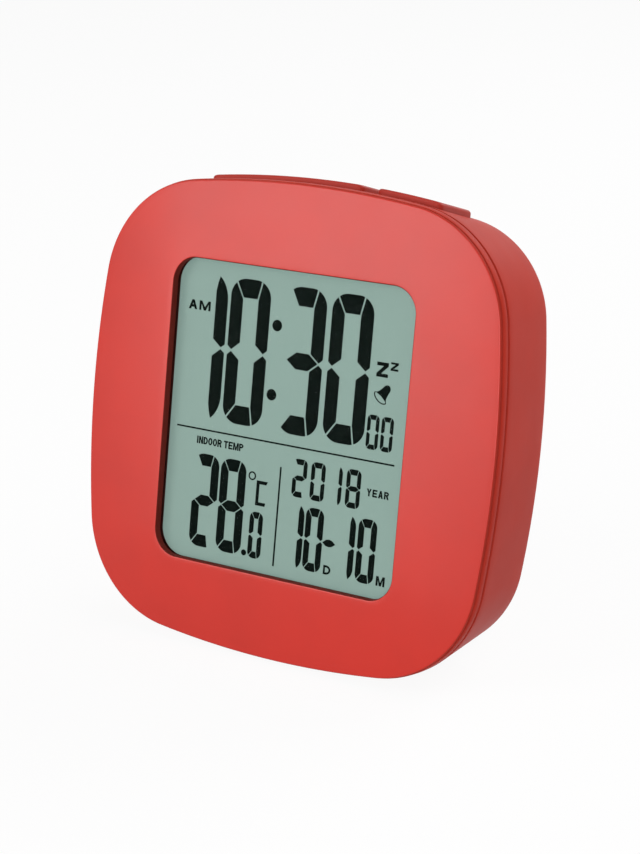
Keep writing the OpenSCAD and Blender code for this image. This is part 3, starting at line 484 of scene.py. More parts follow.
# The case
def make_front_shell():
    face, recess_shade, rim, side = range(4)
    # Finishes by kind: the face's red, painted shade in the window, the rim's red with painted sheen
    # and shade, and the side's red with painted sheen
    finishes = ["red_shell", "painted_shade_and_arrow_red", "rim_red", "rear_red"]
    # Roundings of the face's edge and of the window's edge, and the rings along each stretch
    edge_r, window_edge, steps, bands = 0.35, 0.3, 6, 16
    # The window's rounding takes the painted shade up to this ring, and the face's edge is rim from
    # that one on
    shade_end, rim_start = 4, 3
    # Groove: depth of its middle, rings, how square it is, and how far its back edge stands out
    groove_middle, groove_steps, square, stand_out = 0.62, 10, 0.7, 0.1
    # Inset and depth of the rings behind it: the side's swell, the seam's edge and the tongue
    swell = [(-0.15, 0.98), (-FLARE, SEAM_D - 0.45), (-0.15, SEAM_D - 0.35)]
    seam = [(0.0, SEAM_D - 0.22), (0.3, SEAM_D)]
    tongue = [(TONGUE_IN, SEAM_D), (TONGUE_IN, TONGUE_END), (WALL, TONGUE_END), (WALL, FACE_D)]
    rings, kinds = [], []

    def ring(points, kind=face):
        rings.append(points)
        kinds.append(kind)

    hole = rounded(WINDOW_W, WINDOW_H, WINDOW_R)
    # The window's inner wall and the inner part of its rounding are painted shade
    ring(at_depth(hole, LIP_BACK), recess_shade)
    ring([(x, dome(x, z) + window_edge, z) for x, z in hole], recess_shade)
    for k in range(1, steps + 1):
        a = math.pi / 2 * k / steps
        grow, sink = window_edge * (1 - math.cos(a)), window_edge * (1 - math.sin(a))
        r = rounded(WINDOW_W + 2 * grow, WINDOW_H + 2 * grow, WINDOW_R + grow)
        ring([(x, dome(x, z) + sink, z) for x, z in r], recess_shade if k < shade_end else face)
    inner = rounded(WINDOW_W + 2 * window_edge, WINDOW_H + 2 * window_edge, WINDOW_R + window_edge)
    outer = outline(edge_r)
    for k in range(1, bands + 1):
        t = k / bands
        r = [(a[0] + (b[0] - a[0]) * t, a[1] + (b[1] - a[1]) * t) for a, b in zip(inner, outer)]
        ring([(x, dome(x, z), z) for x, z in r])
    for k in range(1, steps + 1):
        a = math.pi / 2 * k / steps
        d, y = edge_r * (1 - math.sin(a)), dome_at(edge_r) + edge_r * (1 - math.cos(a))
        ring(at_depth(outline(d), y), rim if k >= rim_start else face)
    for k in range(groove_steps + 1):
        a = math.pi * k / groove_steps
        d = GROOVE_D * math.sin(a) ** square - stand_out * k / groove_steps
        y = groove_middle - GROOVE_W / 2 * math.cos(a)
        ring(at_depth(outline(d), y), side if k == groove_steps else rim)
    for profile, kind in ((swell, side), (seam, rim), (tongue, face)):
        for d, y in profile:
            ring(at_depth(outline(d), y), kind)
    pocket = rounded(POCKET_W, POCKET_H, POCKET_R, POCKET_Z)
    ring(at_depth(pocket, FACE_D))
    ring(at_depth(pocket, LIP_BACK))
    made = Build().loft(rings, wrap=True, kinds=kinds)
    posts = []
    for x, z, r, end in ((BOSS_X, BOSS_Z, BOSS_R, BOSS_END), (EAR_X, EAR_Z, EAR_R, BOARD_Y)):
        for sx, sz in FOUR_WAYS:
            posts.append(Build().rod(sx * x, sz * z, [(r, FACE_D - POST_LAP), (r, end)]))
    shell = boolean(made.mesh("front"), posts, "UNION")
    finish_piece("front_shell", shell, "case", "red_shell", ["front_case"], finishes)


def edge_rings(r, steps=12):
    """Inset and depth of the rings round the back's edge, at a radius about its centre."""
    start_y = BODY_D - REAR_EDGE_R
    centre = side_inset(start_y) + REAR_EDGE_R / math.cos(DRAFT)
    turn = [DRAFT + (math.pi / 2 - DRAFT) * k / steps for k in range(steps + 1)]
    return [(centre - r * math.cos(a), start_y + r * math.sin(a)) for a in turn]


def skin(profile, kinds=None):
    """A solid with the face's outline, through rings of given inset and depth."""
    return Build().loft([at_depth(outline(d), y) for d, y in profile], kinds=kinds)


def key_plan(left, w, grow):
    """A key's rounded outline seen from above, as points in x and y."""
    corner_steps, longest = 8, 1.5
    middle, half = left + w / 2, KEY_FRONT + KEY_DEPTH / 2
    r = KEY_R + grow
    hw, hd = w / 2 + grow, KEY_DEPTH / 2 + grow
    ring = []
    for cx, cy, start in ((1, 1, 0), (-1, 1, 90), (-1, -1, 180), (1, -1, 270)):
        x, y = middle + cx * (hw - r), half + cy * (hd - r)
        for k in range(corner_steps + 1):
            a = math.radians(start + 90 * k / corner_steps)
            ring.append((x + r * math.cos(a), y + r * math.sin(a)))
    fine = []
    for p, q in zip(ring, ring[1:] + ring[:1]):
        steps = max(1, round(math.dist(p, q) / longest))
        fine += [tuple(a + (b - a) * k / steps for a, b in zip(p, q)) for k in range(steps)]
    return fine


def back_hole(x, z, r, sides):
    """A hole through the back wall with a chamfered outer edge, to be cut away."""
    chamfer = 0.3
    profile = [(r, CUT_FROM), (r, BODY_D - chamfer), (r + chamfer, BODY_D), (r + chamfer, CUT_TO)]
    return Build().rod(x, z, profile, sides)


def make_rear_shell():
    # The front edge: where it starts, then inset past the drafted side and depth of its rings
    start, edge, rim_rings = SEAM_D + 0.08, [(0.45, 0.0), (0.25, 0.08), (0.06, 0.26)], 2
    side_rings = (start + 0.42, 5, 8, 11, 14, 17)
    profile = [(side_inset(start) + d, start + y) for d, y in edge]
    profile += [(side_inset(y), y) for y in side_rings]
    profile += edge_rings(REAR_EDGE_R)
    # The first rim_rings bands at the seam take the rim's darker red: painted shade along the seam.
    body = skin(profile, [int(k < rim_rings) for k in range(len(profile))])

    # Foot rails and the cells' housing, both trimmed by the table at the end
    rail_from, spare = RIM_D + 4, 3
    joined = []
    for x in (-FOOT_X, FOOT_X):
        x0, x1, z0, z1 = x - FOOT_W / 2, x + FOOT_W / 2, -FACE_HALF - spare, -FACE_HALF + spare
        joined.append(Build().box(x0, x1, rail_from, BODY_D - REAR_EDGE_R, z0, z1))
    low, lip, lip_steps = table_z(BODY_D) - spare, 0.9, 5
    shoulder = table_z(HOUSING_D) + HOUSING_CUT
    low_half = HOUSING_HALF - shoulder + low
    corners = [(HOUSING_HALF, shoulder), (HOUSING_HALF, HOUSING_TOP), (-HOUSING_HALF, HOUSING_TOP)]
    corners += [(-HOUSING_HALF, shoulder), (-low_half, low), (low_half, low)]
    shape = [(0, BODY_D - WALL / 2), (0, HOUSING_D - lip)]
    for k in range(1, lip_steps + 1):
        a = math.pi / 2 / lip_steps * k
        shape.append((lip * (1 - math.cos(a)), HOUSING_D - lip + lip * math.sin(a)))
    rings = [at_depth(soft_polygon(corners, HOUSING_R, d), y) for d, y in shape]
    joined.append(Build().loft(rings))
    made = boolean(body.mesh("rear"), joined, "UNION")

    # The inside, with a thinner lap at the front that takes the front shell's tongue
    lap, lap_end, slant = 0.8, 4.6, WALL / math.cos(DRAFT)
    hollow = [(lap, RIM_D - CLEAR), (lap, lap_end), (side_inset(lap_end) + slant, lap_end)]
    made = boolean(made, [skin(hollow + edge_rings(REAR_EDGE_R - WALL))], "DIFFERENCE")

    tube_from = BOSS_END + 0.1
    screws = [(sx * BOSS_X, sz * BOSS_Z) for sx, sz in FOUR_WAYS]
    tubes = [Build().rod(x, z, [(TUBE_R, tube_from), (TUBE_R, TUBE_END)]) for x, z in screws]
    made = boolean(made, tubes, "UNION")

    cuts = []
    for x, z in screws:
        cuts.append(Build().rod(x, z, [(HEAD_R, SCREW_SEAT), (HEAD_R, BODY_D + CLEAR)]))
        cuts.append(Build().rod(x, z, [(SCREW_R, BOSS_END - CLEAR), (SCREW_R, SCREW_SEAT + CLEAR)]))
    # Openings for the keys, from inside the top to above it, and for buttons, slide knob and sound
    key_cut = (30, 46)
    for left, w in ((SNOOZE_LEFT, SNOOZE_W), (ALARM_LEFT, ALARM_W)):
        plan = key_plan(left, w, GAP)
        cuts.append(Build().loft([[(x, y, z) for x, y in plan] for z in key_cut]))
    for x in BUTTON_XS:
        cuts.append(back_hole(x, ROW_Z, BUTTON_R + GAP, sides=48))
    half, reach = SLIDE_STEM / 2 + GAP, (SLIDE_STEM + SLIDE_TRAVEL) / 2 + GAP
    x0, x1, z0, z1 = SLIDE_X - half, SLIDE_X + half, ROW_Z - reach, ROW_Z + reach
    cuts.append(Build().box(x0, x1, CUT_FROM, CUT_TO, z0, z1))
    around = [(SOUND_RING * math.cos(a), SOUND_RING * math.sin(a)) for a in angles(6)]
    for x, z in [(0, 0), *around]:
        cuts.append(back_hole(x, BUZZER_Z + z, SOUND_R, sides=24))
    # The cells' bay, the door's opening with its slots, and the hollow under the bay
    cuts.append(Build().box(-BAY_HALF, BAY_HALF, BODY_D, DOOR_Y, BAY_BOTTOM, BAY_TOP))
    side, high = DOOR_HALF + GAP, HOUSING_TOP + CLEAR
    slot, slot_end = side + DOOR_TONGUE, DOOR_Y + DOOR_TONGUE + 2 * GAP
    cuts.append(Build().box(-side, side, DOOR_Y - GAP, HOUSING_D + CLEAR, BAY_BOTTOM, high))
    cuts.append(Build().box(-slot, slot, DOOR_Y, slot_end, BAY_BOTTOM, high))
    under = HOUSING_HALF - shoulder + table_z(BODY_D + WALL) - WALL
    under_top = BAY_BOTTOM - HOUSING_WALL
    cuts.append(Build().box(-under, under, BODY_D + WALL, HOUSING_D - WALL, low, under_top))
    # Slits that the contacts' tails pass through
    x, thin, deep, tall = BAY_HALF - CONTACT_T / 2, 0.4, 3, 1.7
    for z in (LOWER_CELL_Z, UPPER_CELL_Z):
        cuts.append(Build().box(x - thin, x + thin, BODY_D - deep, BODY_D + deep, z - tall, z + tall))
    # All that would reach below the table, as a block larger than the clock
    front, back, bottom, wide = -50, 80, -90, 60
    block = [(front, table_z(front)), (back, table_z(back)), (back, bottom), (front, bottom)]
    cuts.append(Build().loft([[(x, y, z) for y, z in block] for x in (-wide, wide)]))
    made = boolean(made, cuts, "DIFFERENCE")
    finish_piece("rear_shell", made, "case", "red_shell", ["rear_case"], ["rear_red", "rim_red"])


# Pieces that move
def top_of_case(x, y, rise):
    """Height of the case's top over a point of the plan, raised by a distance."""
    d, x = side_inset(y) - rise, abs(x)
    if x <= (BOW_R - d) * math.sin(CORNER_A):
        return SIDE_C + math.sqrt((BOW_R - d) ** 2 - x * x)
    return CORNER_C + math.sqrt((CORNER_R - d) ** 2 - (x - CORNER_C) ** 2)


def make_key(name, node, body, left, w, stems):
    # Rounding of the top's edge, insets of the rings inside it, and inset of the underside's ring
    soft, steps, top_insets, under_inset = 0.5, 7, (4.4, 2.8, 1.6), 0.5
    # Inset and rise of each ring. The first is drawn in to a line, so it needs no cap.
    levels = [(inset, KEY_H) for inset in (min(KEY_DEPTH, w) / 2, *top_insets)]
    for k in range(steps + 1):
        a = math.pi / 2 * k / steps
        levels.append((soft * (1 - math.sin(a)), KEY_H - soft * (1 - math.cos(a))))
    levels += [(0, -UNDER_WALL), (-FLANGE_LAP, -UNDER_WALL)]
    levels += [(-FLANGE_LAP, -UNDER_KEY), (under_inset, -UNDER_KEY)]
    plan = key_plan(left, w, 0)
    middle, half = left + w / 2, KEY_FRONT + KEY_DEPTH / 2
    rings = []
    for inset, rise in levels:
        sx, sy = (w / 2 - inset) / (w / 2), (KEY_DEPTH / 2 - inset) / (KEY_DEPTH / 2)
        ring = [(middle + (x - middle) * sx, half + (y - half) * sy) for x, y in plan]
        rings.append([(x, y, top_of_case(x, y, rise)) for x, y in ring])
    made = Build().loft(rings, first=False)
    posts = []
    for x in stems:
        top = top_of_case(x, half, -UNDER_KEY + STEM_LAP)
        posts.append(Build().upright(x, half, STEM_END, top, STEM_R))
    cap = boolean(made.mesh(name), posts, "UNION")
    finish_piece(name, cap, body, "red_key", [node], sharp=40)


def make_buttons():
    r, top = BUTTON_R, BODY_D + BUTTON_H
    flange_r, flange_end = r + FLANGE_LAP, FLANGE_Y + FLANGE_T
    round_r, steps, sides = 0.55, 6, 64
    # Radius and sink of the hollow for the fingertip
    dish = [(2.7, 0.06), (2.0, 0.2), (1.0, 0.3), (0.25, 0.33)]
    profile = [(STEM_R, BUTTON_STEM_Y), (STEM_R, FLANGE_Y)]
    profile += [(flange_r, FLANGE_Y), (flange_r, flange_end), (r, flange_end)]
    for k in range(steps + 1):
        a = math.pi / 2 * k / steps
        profile.append((r - round_r * (1 - math.cos(a)), top - round_r * (1 - math.sin(a))))
    profile += [(dish_r, top - sink) for dish_r, sink in dish]
    for name, x in zip(("mode", "set", "up", "down"), BUTTON_XS):
        made = Build().rod(x, ROW_Z, profile, sides).mesh(name)
        finish_piece(name + "_cap", made, name, "dark_button", [name + "_button"], sharp=50)


def make_slide_knob():
    z, base, top = ROW_Z - SLIDE_TRAVEL / 2, BODY_D + GAP, BODY_D + GAP + BUTTON_H
    # Grooves across the knob: spacing, half widths at the mouth and at the floor, and depth
    pitch, mouth, floor, deep = 1.2, 0.32, 0.2, 0.4
    side = [(base, z - KNOB_HALF), (top, z - KNOB_HALF)]
    for v in (z - pitch, z, z + pitch):
        side += [(top, v - mouth), (top - deep, v - floor), (top - deep, v + floor), (top, v + mouth)]
    side += [(top, z + KNOB_HALF), (base, z + KNOB_HALF)]
    ends = (SLIDE_X - KNOB_HALF, SLIDE_X + KNOB_HALF)
    made = Build().loft([[(x, y, v) for y, v in side] for x in ends])
    half = SLIDE_STEM / 2
    x0, x1, z0, z1 = SLIDE_X - half, SLIDE_X + half, z - half, z + half
    stem = Build().box(x0, x1, SLIDE_STEM_Y, base + STEM_LAP, z0, z1)
    knob = boolean(made.mesh("slide"), [stem], "UNION")
    finish_piece("slide_cap", knob, "alarm_slide", "dark_button", ["slide_knob"], bevel=0.14)


def make_door():
    side, tongue = DOOR_HALF, DOOR_HALF + DOOR_TONGUE
    near, far = DOOR_Y + GAP, DOOR_Y + GAP + DOOR_TONGUE
    section = [(-side, DOOR_Y), (side, DOOR_Y), (side, near), (tongue, near)]
    section += [(tongue, far), (side, far), (side, HOUSING_D), (-side, HOUSING_D)]
    section += [(-side, far), (-tongue, far), (-tongue, near), (-side, near)]
    heights = (BAY_BOTTOM + GAP, HOUSING_TOP)
    made = Build().loft([[(x, y, z) for x, y in section] for z in heights])
    # Four grooves for the thumb, each shorter than the one above it
    first, pitch, longest, shorter, thin, deep = BAY_TOP - 3, 1.6, 8, 0.9, 0.35, 0.5
    grooves = []
    for i in range(4):
        z, reach = first - pitch * i, longest - shorter * i
        y0, y1 = HOUSING_D - deep, HOUSING_D + CLEAR
        grooves.append(Build().box(-reach, reach, y0, y1, z - thin, z + thin))
    panel = boolean(made.mesh("door"), grooves, "DIFFERENCE")
    finish_piece("door_panel", panel, "door", "red_shell", ["battery_door"], ["rear_red"], bevel=0.15)
    z, half, tall, inlay = BAY_TOP - 11.5, 1.6, 2.2, 0.2
    shape = [(-half, z), (half, z), (0, z + tall)]
    arrow = Build().prism(shape, HOUSING_D - inlay, HOUSING_D).mesh("door_arrow")
    finish_piece("door_arrow", arrow, "door", "red_shell", finishes=["painted_shade_and_arrow_red"])


# Display figures and print
def printed(shapes, y0, y1):
    """Flat shapes between two depths, joined where they touch."""
    prisms = [Build().prism(shape, y0, y1) for shape in shapes]
    return boolean(prisms[0].mesh("print"), prisms[1:], "UNION")


def arc(cx, cy, rx, ry, start, end, steps=8):
    """Points along an ellipse, between two angles in degrees."""
    turn = [math.radians(start + (end - start) * k / steps) for k in range(steps + 1)]
    return [(cx + rx * math.cos(a), cy + ry * math.sin(a)) for a in turn]


# Strokes that make each figure: a on top, then clockwise to f, and g in the middle
LIT = {0: "abcdef", 2: "abdeg", 3: "abcdg", 8: "abcdefg"}


def stroke_gap(s):
    """Space between the strokes of a figure."""
    return min(0.35, 0.04 + 0.117 * s)


def segment(part, w, h, s):
    """One of the seven strokes of a figure of that width, height and stroke, as points.
    Its corners are shares of the stroke and the gap, as the photograph shows them."""
    t, m, r = 1.3 * s, 1.15 * s, 1.25 * s
    gap = stroke_gap(s)
    mid, lean = h / 2, math.degrees(gap / 2 / r)
    left_split, right_split = (138, 110) if part in "cde" else (130, 113)
    if part in "ad":
        points = arc(r, h - r, r, r, left_split - lean, 90)
        far = arc(r, h - r, r, r, right_split - lean, 90)
        points += [(w - x, y) for x, y in reversed(far)]
        points += [(w - s - 0.8 * gap, h - t), (s + 0.35 * gap, h - t)]
        return points if part == "a" else [(x, h - y) for x, y in points]
    if part == "g":
        tip, rise = 0.32 * s + 0.6 * gap, m / 2
        left, right = tip + 1.3 * rise, w - tip - 1.3 * rise
        points = [(tip, mid), (left, mid + rise), (right, mid + rise)]
        return points + [(w - tip, mid), (right, mid - rise), (left, mid - rise)]
    split, drop = (right_split, 0.3 * gap) if part in "bc" else (left_split, 0.8 * gap)
    points = arc(r, h - r, r, r, 180, split + lean)
    points += [(s, h - t - drop), (s, mid + 0.55 * s + 0.4 * gap)]
    points += [(0.32 * s, mid + 0.5 * gap), (0, mid + 0.28 * s + 0.4 * gap)]
    if part in "bc":
        points = [(w - x, y) for x, y in points]
    return [(x, h - y) for x, y in points] if part in "ce" else points


def tall_one(w, h, s):
    """The figure one: two strokes, each with a leaf's tip at its outer end."""
    gap, mid, x0 = stroke_gap(s), h / 2, w - s
    rx, ry = 1.6 * s, 1.95 * s
    upper = [(x0, mid + 0.6 * s), (w - 0.32 * s, mid + 0.5 * gap), (w, mid + 0.3 * s)]
    upper += arc(w - rx, h - 1.75 * s, rx, ry, 0, 58, 12)
    upper += [(x0 + 0.10 * s, h - 0.57 * s), (x0, h - 1.1 * s)]
    return [upper, [(x, h - y) for x, y in upper]]


def figures(row, bottom, w, h, s):
    """Figures of one size on one line. Each comes with its left edge."""
    shapes = []
    for value, left in row:
        strokes = tall_one(w, h, s) if value == 1 else [segment(c, w, h, s) for c in LIT[value]]
        shapes += [[(left + x, bottom + y) for x, y in stroke] for stroke in strokes]
    return shapes


def bar(u0, u1, v0, v1):
    return [(u0, v0), (u1, v0), (u1, v1), (u0, v1)]


def disc(u, v, r, steps=28):
    return arc(u, v, r, r, 0, 360 - 360 / steps, steps - 1)


def zed(u0, u1, v0, v1):
    """A letter Z that fills a box."""
    half = [(0, 1), (1, 1), (1, 0.76), (0.40, 0.24), (1, 0.24)]
    shape = half + [(1 - x, 1 - y) for x, y in half]
    return [(u0 + (u1 - u0) * x, v0 + (v1 - v0) * y) for x, y in shape]


def band(inner, outer):
    """A closed ring between two outlines, as four-sided pieces."""
    n = len(inner)
    return [[inner[i], inner[(i + 1) % n], outer[(i + 1) % n], outer[i]] for i in range(n)]


def bell(u, v, size, tilt):
    """An alarm bell that hangs at a tilt: a filled body over an outlined mouth."""
    steps = 24
    body = arc(0, 0.60, 0.28, 0.32, 0, 180, 12)
    body += [(-0.31, 0.40), (-0.36, 0.16), (-0.44, 0.0), (-0.57, -0.11), (-0.40, -0.07), (0, -0.02)]
    body += [(0.40, -0.07), (0.57, -0.11), (0.44, 0.0), (0.36, 0.16), (0.31, 0.40)]
    outer = arc(0, -0.12, 0.59, 0.34, 180, 360, steps)
    inner = arc(0, -0.12, 0.51, 0.265, 180, 360, steps)
    shapes = [body] + [[inner[i], outer[i], outer[i + 1], inner[i + 1]] for i in range(steps)]
    c, s = math.cos(math.radians(tilt)), math.sin(math.radians(tilt))
    tilted = [[(x * c - y * s, x * s + y * c) for x, y in p] for p in shapes]
    return [[(u + size * x, v + size * y) for x, y in p] for p in tilted]


def arc_band(cx, cy, rx, ry, stroke, start, end, steps=16):
    """A curved stroke of a letter, as four-sided pieces between an outer and an inner arc."""
    outer = arc(cx, cy, rx, ry, start, end, steps)
    inner = arc(cx, cy, rx - stroke, ry - stroke, start, end, steps)
    return [[outer[i], outer[i + 1], inner[i + 1], inner[i]] for i in range(steps)]


def letter(c, w, h, s):
    """A plain block capital, or nothing for a space, drawn in shares of width, height and stroke."""
    left, top, low = bar(0, s, 0, h), bar(0, w, h - s, h), bar(0, w, 0, s)
    middle = bar(s, 0.9 * w, (h - s) / 2, (h + s) / 2)
    k = 1.15 * s
    if c == "A":
        legs = [(0, 0), ((w - k) / 2, h), ((w + k) / 2, h), (w, 0)]
        legs += [(w - k, 0), (w / 2, h - 1.3 * s), (k, 0)]
        rung = 0.22 * h
        cross = [(0.26 * w, rung), (0.74 * w, rung), (0.66 * w, rung + s), (0.34 * w, rung + s)]
        return [legs, cross]
    if c == "D":
        bow = arc_band(0.35 * w, h / 2, 0.65 * w, h / 2, s, -90, 90)
        return [left, *bow, bar(s, 0.35 * w, 0, s), bar(s, 0.35 * w, h - s, h)]
    if c == "E":
        return [left, top, middle, low]
    if c == "F":
        return [left, top, middle]
    if c == "I":
        return [bar((w - s) / 2, (w + s) / 2, 0, h)]
    if c == "L":
        return [left, low]
    if c in "MW":
        valley = [(0, 0), (0, h), (k, h), (w / 2, 0.34 * h), (w - k, h), (w, h), (w, 0), (w - s, 0)]
        valley += [(w - s, 0.70 * h), (w / 2 + 0.5 * s, 0), (w / 2 - 0.5 * s, 0)]
        valley += [(s, 0.70 * h), (s, 0)]
        return [valley if c == "M" else [(x, h - y) for x, y in valley]]
    if c == "N":
        half = [(0, 0), (0, h), (k, h), (w - s, 0.36 * h), (w - s, h)]
        return [half + [(w - x, h - y) for x, y in half]]
    if c == "O":
        return arc_band(w / 2, h / 2, w / 2, h / 2, s, 0, 360)
    if c in "PR":
        bowl = [left, bar(s, 0.5 * w, h - s, h), bar(s, 0.5 * w, 0.42 * h, 0.42 * h + s)]
        bowl += arc_band(0.5 * w, 0.71 * h, 0.5 * w, 0.29 * h, s, -90, 90)
        leg = [(0.40 * w, 0.5 * h), (0.40 * w + k, 0.5 * h), (w, 0), (w - k, 0)]
        return [*bowl, leg] if c == "R" else bowl
    if c == "S":
        r = (h + s) / 4
        upper = arc_band(w / 2, h - r, w / 2, r, s, 20, 270)
        return upper + arc_band(w / 2, r, w / 2, r, s, 90, -160)
    if c == "T":
        return [top, bar((w - s) / 2, (w + s) / 2, 0, h - s)]
    if c == "U":
        bend = 0.4 * h
        arms = [bar(0, s, bend, h), bar(w - s, w, bend, h)]
        return arms + arc_band(w / 2, bend, w / 2, bend, s, 180, 360)
    if c == "Y":
        fork = 0.42 * h
        shape = [((w - s) / 2, 0), ((w - s) / 2, fork), (0, h), (k, h), (w / 2, 0.60 * h)]
        return [shape + [(w - k, h), (w, h), ((w + s) / 2, fork), ((w + s) / 2, 0)]]
    return []


# Widths of letters against each other
LETTER_WIDTH, OTHER_WIDTHS = 0.88, {"I": 0.35, "M": 1.15, "W": 1.15, " ": 0.25}


def word(text, u0, u1, v0, v1, weight=0.19, space=0.22):
    """Outlines of a word that fills a box. Where u1 is less than u0 it reads from the far side."""
    h = v1 - v0
    widths = [OTHER_WIDTHS.get(c, LETTER_WIDTH) for c in text]
    unit = abs(u1 - u0) / (sum(widths) + space * (len(text) - 1))
    way, along, shapes = math.copysign(1, u1 - u0), 0.0, []
    for c, w in zip(text, widths):
        for p in letter(c, w * unit, h, weight * h):
            shapes.append([(u0 + way * (along + x), v0 + y) for x, y in p])
        along += (w + space) * unit
    return shapes


def make_display():
    # Bottom, width, height and stroke of each line of figures
    time, seconds = (-1.62, 8.69, 26.7, 2.65), (-1.65, 2.45, 6.19, 0.68)
    degrees, tenths = (-25.65, 5.63, 17.46, 1.73), (-25.65, 2.89, 8.65, 0.96)
    year, year_one = (-12.77, 3.0, 7.0, 0.8), (-12.77, 3.0, 7.0, 0.74)
    date = (-25.72, 3.85, 11.62, 1.2)
    # The scale's letter, and the dash between day and month
    celsius = [(-5.69, -11.15), (-3.25, -11.15), (-3.6, -11.78), (-5.05, -11.78)]
    celsius += [(-5.05, -15.14), (-3.5, -15.14), (-3.62, -15.77), (-5.69, -15.77)]
    dash = [(9.35, -19.95), (10.1, -19.35), (10.7, -19.22), (11.4, -19.4)]
    dash += [(12.1, -19.95), (11.3, -20.5), (10.7, -20.6), (10.1, -20.5)]
    groups = {
        "time_figures": [
            *figures([(1, -23.8), (0, -14.46), (3, -2.46), (0, 7.36)], *time),
            disc(-4.0, 17.5, 1.04),
            disc(-4.05, 4.88, 1.04),
        ],
        "second_figures": figures([(0, 16.54), (0, 19.48)], *seconds),
        "temperature_figures": [
            *figures([(2, -19.8), (8, -13.75)], *degrees),
            disc(-7.35, -24.95, 0.56),
            *figures([(0, -6.58)], *tenths),
            *band(disc(-6.77, -10.5, 0.55), disc(-6.77, -10.5, 0.82)),
            celsius,
        ],
        "calendar_figures": [
            *figures([(2, 1.92), (0, 5.80)], *year),
            *figures([(1, 9.42)], *year_one),
            *figures([(8, 13.30)], *year),
            *figures([(1, 1.30), (0, 5.46)], *date),
            dash,
            *figures([(1, 12.25), (0, 16.63)], *date),
        ],
        "display_signs": [
            bar(-24.35, 22.77, -3.9, -3.6),
            bar(-0.9, -0.57, -26.27, -7.88),
            zed(17.50, 19.85, 11.40, 14.02),
            zed(20.30, 21.85, 12.78, 14.28),
            *bell(18.93, 8.05, 2.65, -37),
            *word("AM", -23.7, -18.85, 18.15, 19.9, 0.25),
            *word("INDOOR TEMP", -19.65, -9.23, -6.46, -5.08, 0.2, 0.12),
            *word("YEAR", 17.65, 22.2, -10.0, -8.65, 0.21),
            *word("D", 10.0, 11.54, -25.65, -23.96, 0.22),
            *word("M", 21.1, 22.9, -25.6, -23.85, 0.23),
        ],
    }
    for name, shapes in groups.items():
        made = printed(shapes, FIGURE_FRONT, FIGURE_BACK)
        replaces = ["lcd_segments"] if name == "time_figures" else []
        finish_piece(name, made, "case", "display_segments", replaces)
    # A dark ring round the display, behind the window's lip: painted shade
    inner = rounded(WINDOW_W + 2 * SHADE_RING_GAP, WINDOW_H + 2 * SHADE_RING_GAP, WINDOW_R + SHADE_RING_GAP)
    outer = rounded(SHADE_RING_W, SHADE_RING_H, SHADE_RING_R)
    section = ((inner, FIGURE_FRONT), (outer, FIGURE_FRONT), (outer, SHADE_RING_BACK), (inner, SHADE_RING_BACK))
    mask = Build().loft([at_depth(r, y) for r, y in section], wrap=True).mesh("painted_shade_ring")
    finish_piece("painted_shade_ring", mask, "case", "display_segments", finishes=["painted_shade_ring"])


def make_labels():
    """Words on the back, over the buttons and round the slide switch."""
    base, high, sunk, ink = ROW_Z + 5.4, 1.5, 0.01, 0.03
    shapes = []
    for text, x, w in zip(("MODE", "SET", "UP", "DOWN"), BUTTON_XS, (5.2, 3.6, 2.5, 5.6)):
        shapes += word(text, x + w / 2, x - w / 2, base, base + high)
    for text, w, rise in (("ON", 2.5, 4.9), ("OFF", 3.4, -6.9), ("ALARM", 6.2, 8.0)):
        v = ROW_Z + rise
        shapes += word(text, SLIDE_X + w / 2, SLIDE_X - w / 2, v, v + high)
    made = printed(shapes, BODY_D - sunk, BODY_D + ink)
    finish_piece("rear_labels", made, "case", "plunger", finishes=["print"])


# Cells and their springs
def make_cells():
    jacket, gilt, metal = range(3)
    finishes = ["cell_jacket", "cell_band", "contact"]
    r, nub, band_end, sides = CELL_R, 0.9, 12, 48
    start = BAY_HALF - CONTACT_T - GAP
    # Radius, distance from the nub's tip, and finish of the band behind each ring
    profile = [(1.9, 0, metal), (1.9, nub, metal), (3.4, nub + 0.05, metal)]
    profile += [(3.4, nub + 0.35, jacket), (r - 0.35, nub + 0.35, jacket), (r, nub + 0.8, gilt)]
    profile += [(r, band_end, jacket), (r, CELL_L - 0.5, jacket), (r - 0.4, CELL_L - 0.1, jacket)]
    profile += [(3.6, CELL_L - 0.1, metal), (3.5, CELL_L, metal), (0.3, CELL_L, metal)]
    made = Build()
    for z, way in ((UPPER_CELL_Z, 1), (LOWER_CELL_Z, -1)):
        rings = []
        for ring_r, along, _ in profile:
            x = way * (start - along)
            ring = [(ring_r * math.cos(a), ring_r * math.sin(a)) for a in angles(sides)]
            rings.append([(x, CELL_Y + u, z + v) for u, v in ring])
        made.loft(rings, kinds=[kind for _, _, kind in profile])
    finish_piece("cell_pair", made.mesh("cells"), "case", "cell_jacket", ["cells"], finishes)


def make_springs():
    turns, steps, sides, wire = 4.5, 28, 10, 0.25
    # Radius at the contact and how much it shrinks, lift of the end turns, and their share of a turn
    wide, shrink, seat, flat = 3.4, 1.2, 0.3, 0.4
    count = int(turns * steps)
    made = Build()
    for z, way in ((LOWER_CELL_Z, 1), (UPPER_CELL_Z, -1)):
        rings = []
        for i in range(count + 1):
            t, a = i / count, 2 * math.pi * i / steps
            r = wide - shrink * t
            climb = min(1, max(0, (t * turns - flat) / (turns - 2 * flat)))
            rise = seat + (SPRING_L - 2 * seat) * climb
            ring = []
            for b in angles(sides):
                out, up = r + wire * math.cos(b), rise + wire * math.sin(b)
                x = way * (BAY_HALF - CONTACT_T - up)
                ring.append((x, CELL_Y + out * math.cos(a), z + out * math.sin(a)))
            rings.append(ring)
        made.loft(rings)
    finish_piece("contact_coils", made.mesh("coils"), "case", "contact", ["contact_springs"])


def dress_cad_nodes():
    """Gives each solid that stays visible the material of its slot."""
    slots = {row["node"]: row["material_slot"] for row in frame["record"]["subparts"]}
    for name, node in frame["nodes"].items():
        for worn in node.material_slots:
            worn.link = "OBJECT"
            worn.material = MATERIALS[slots[name]]


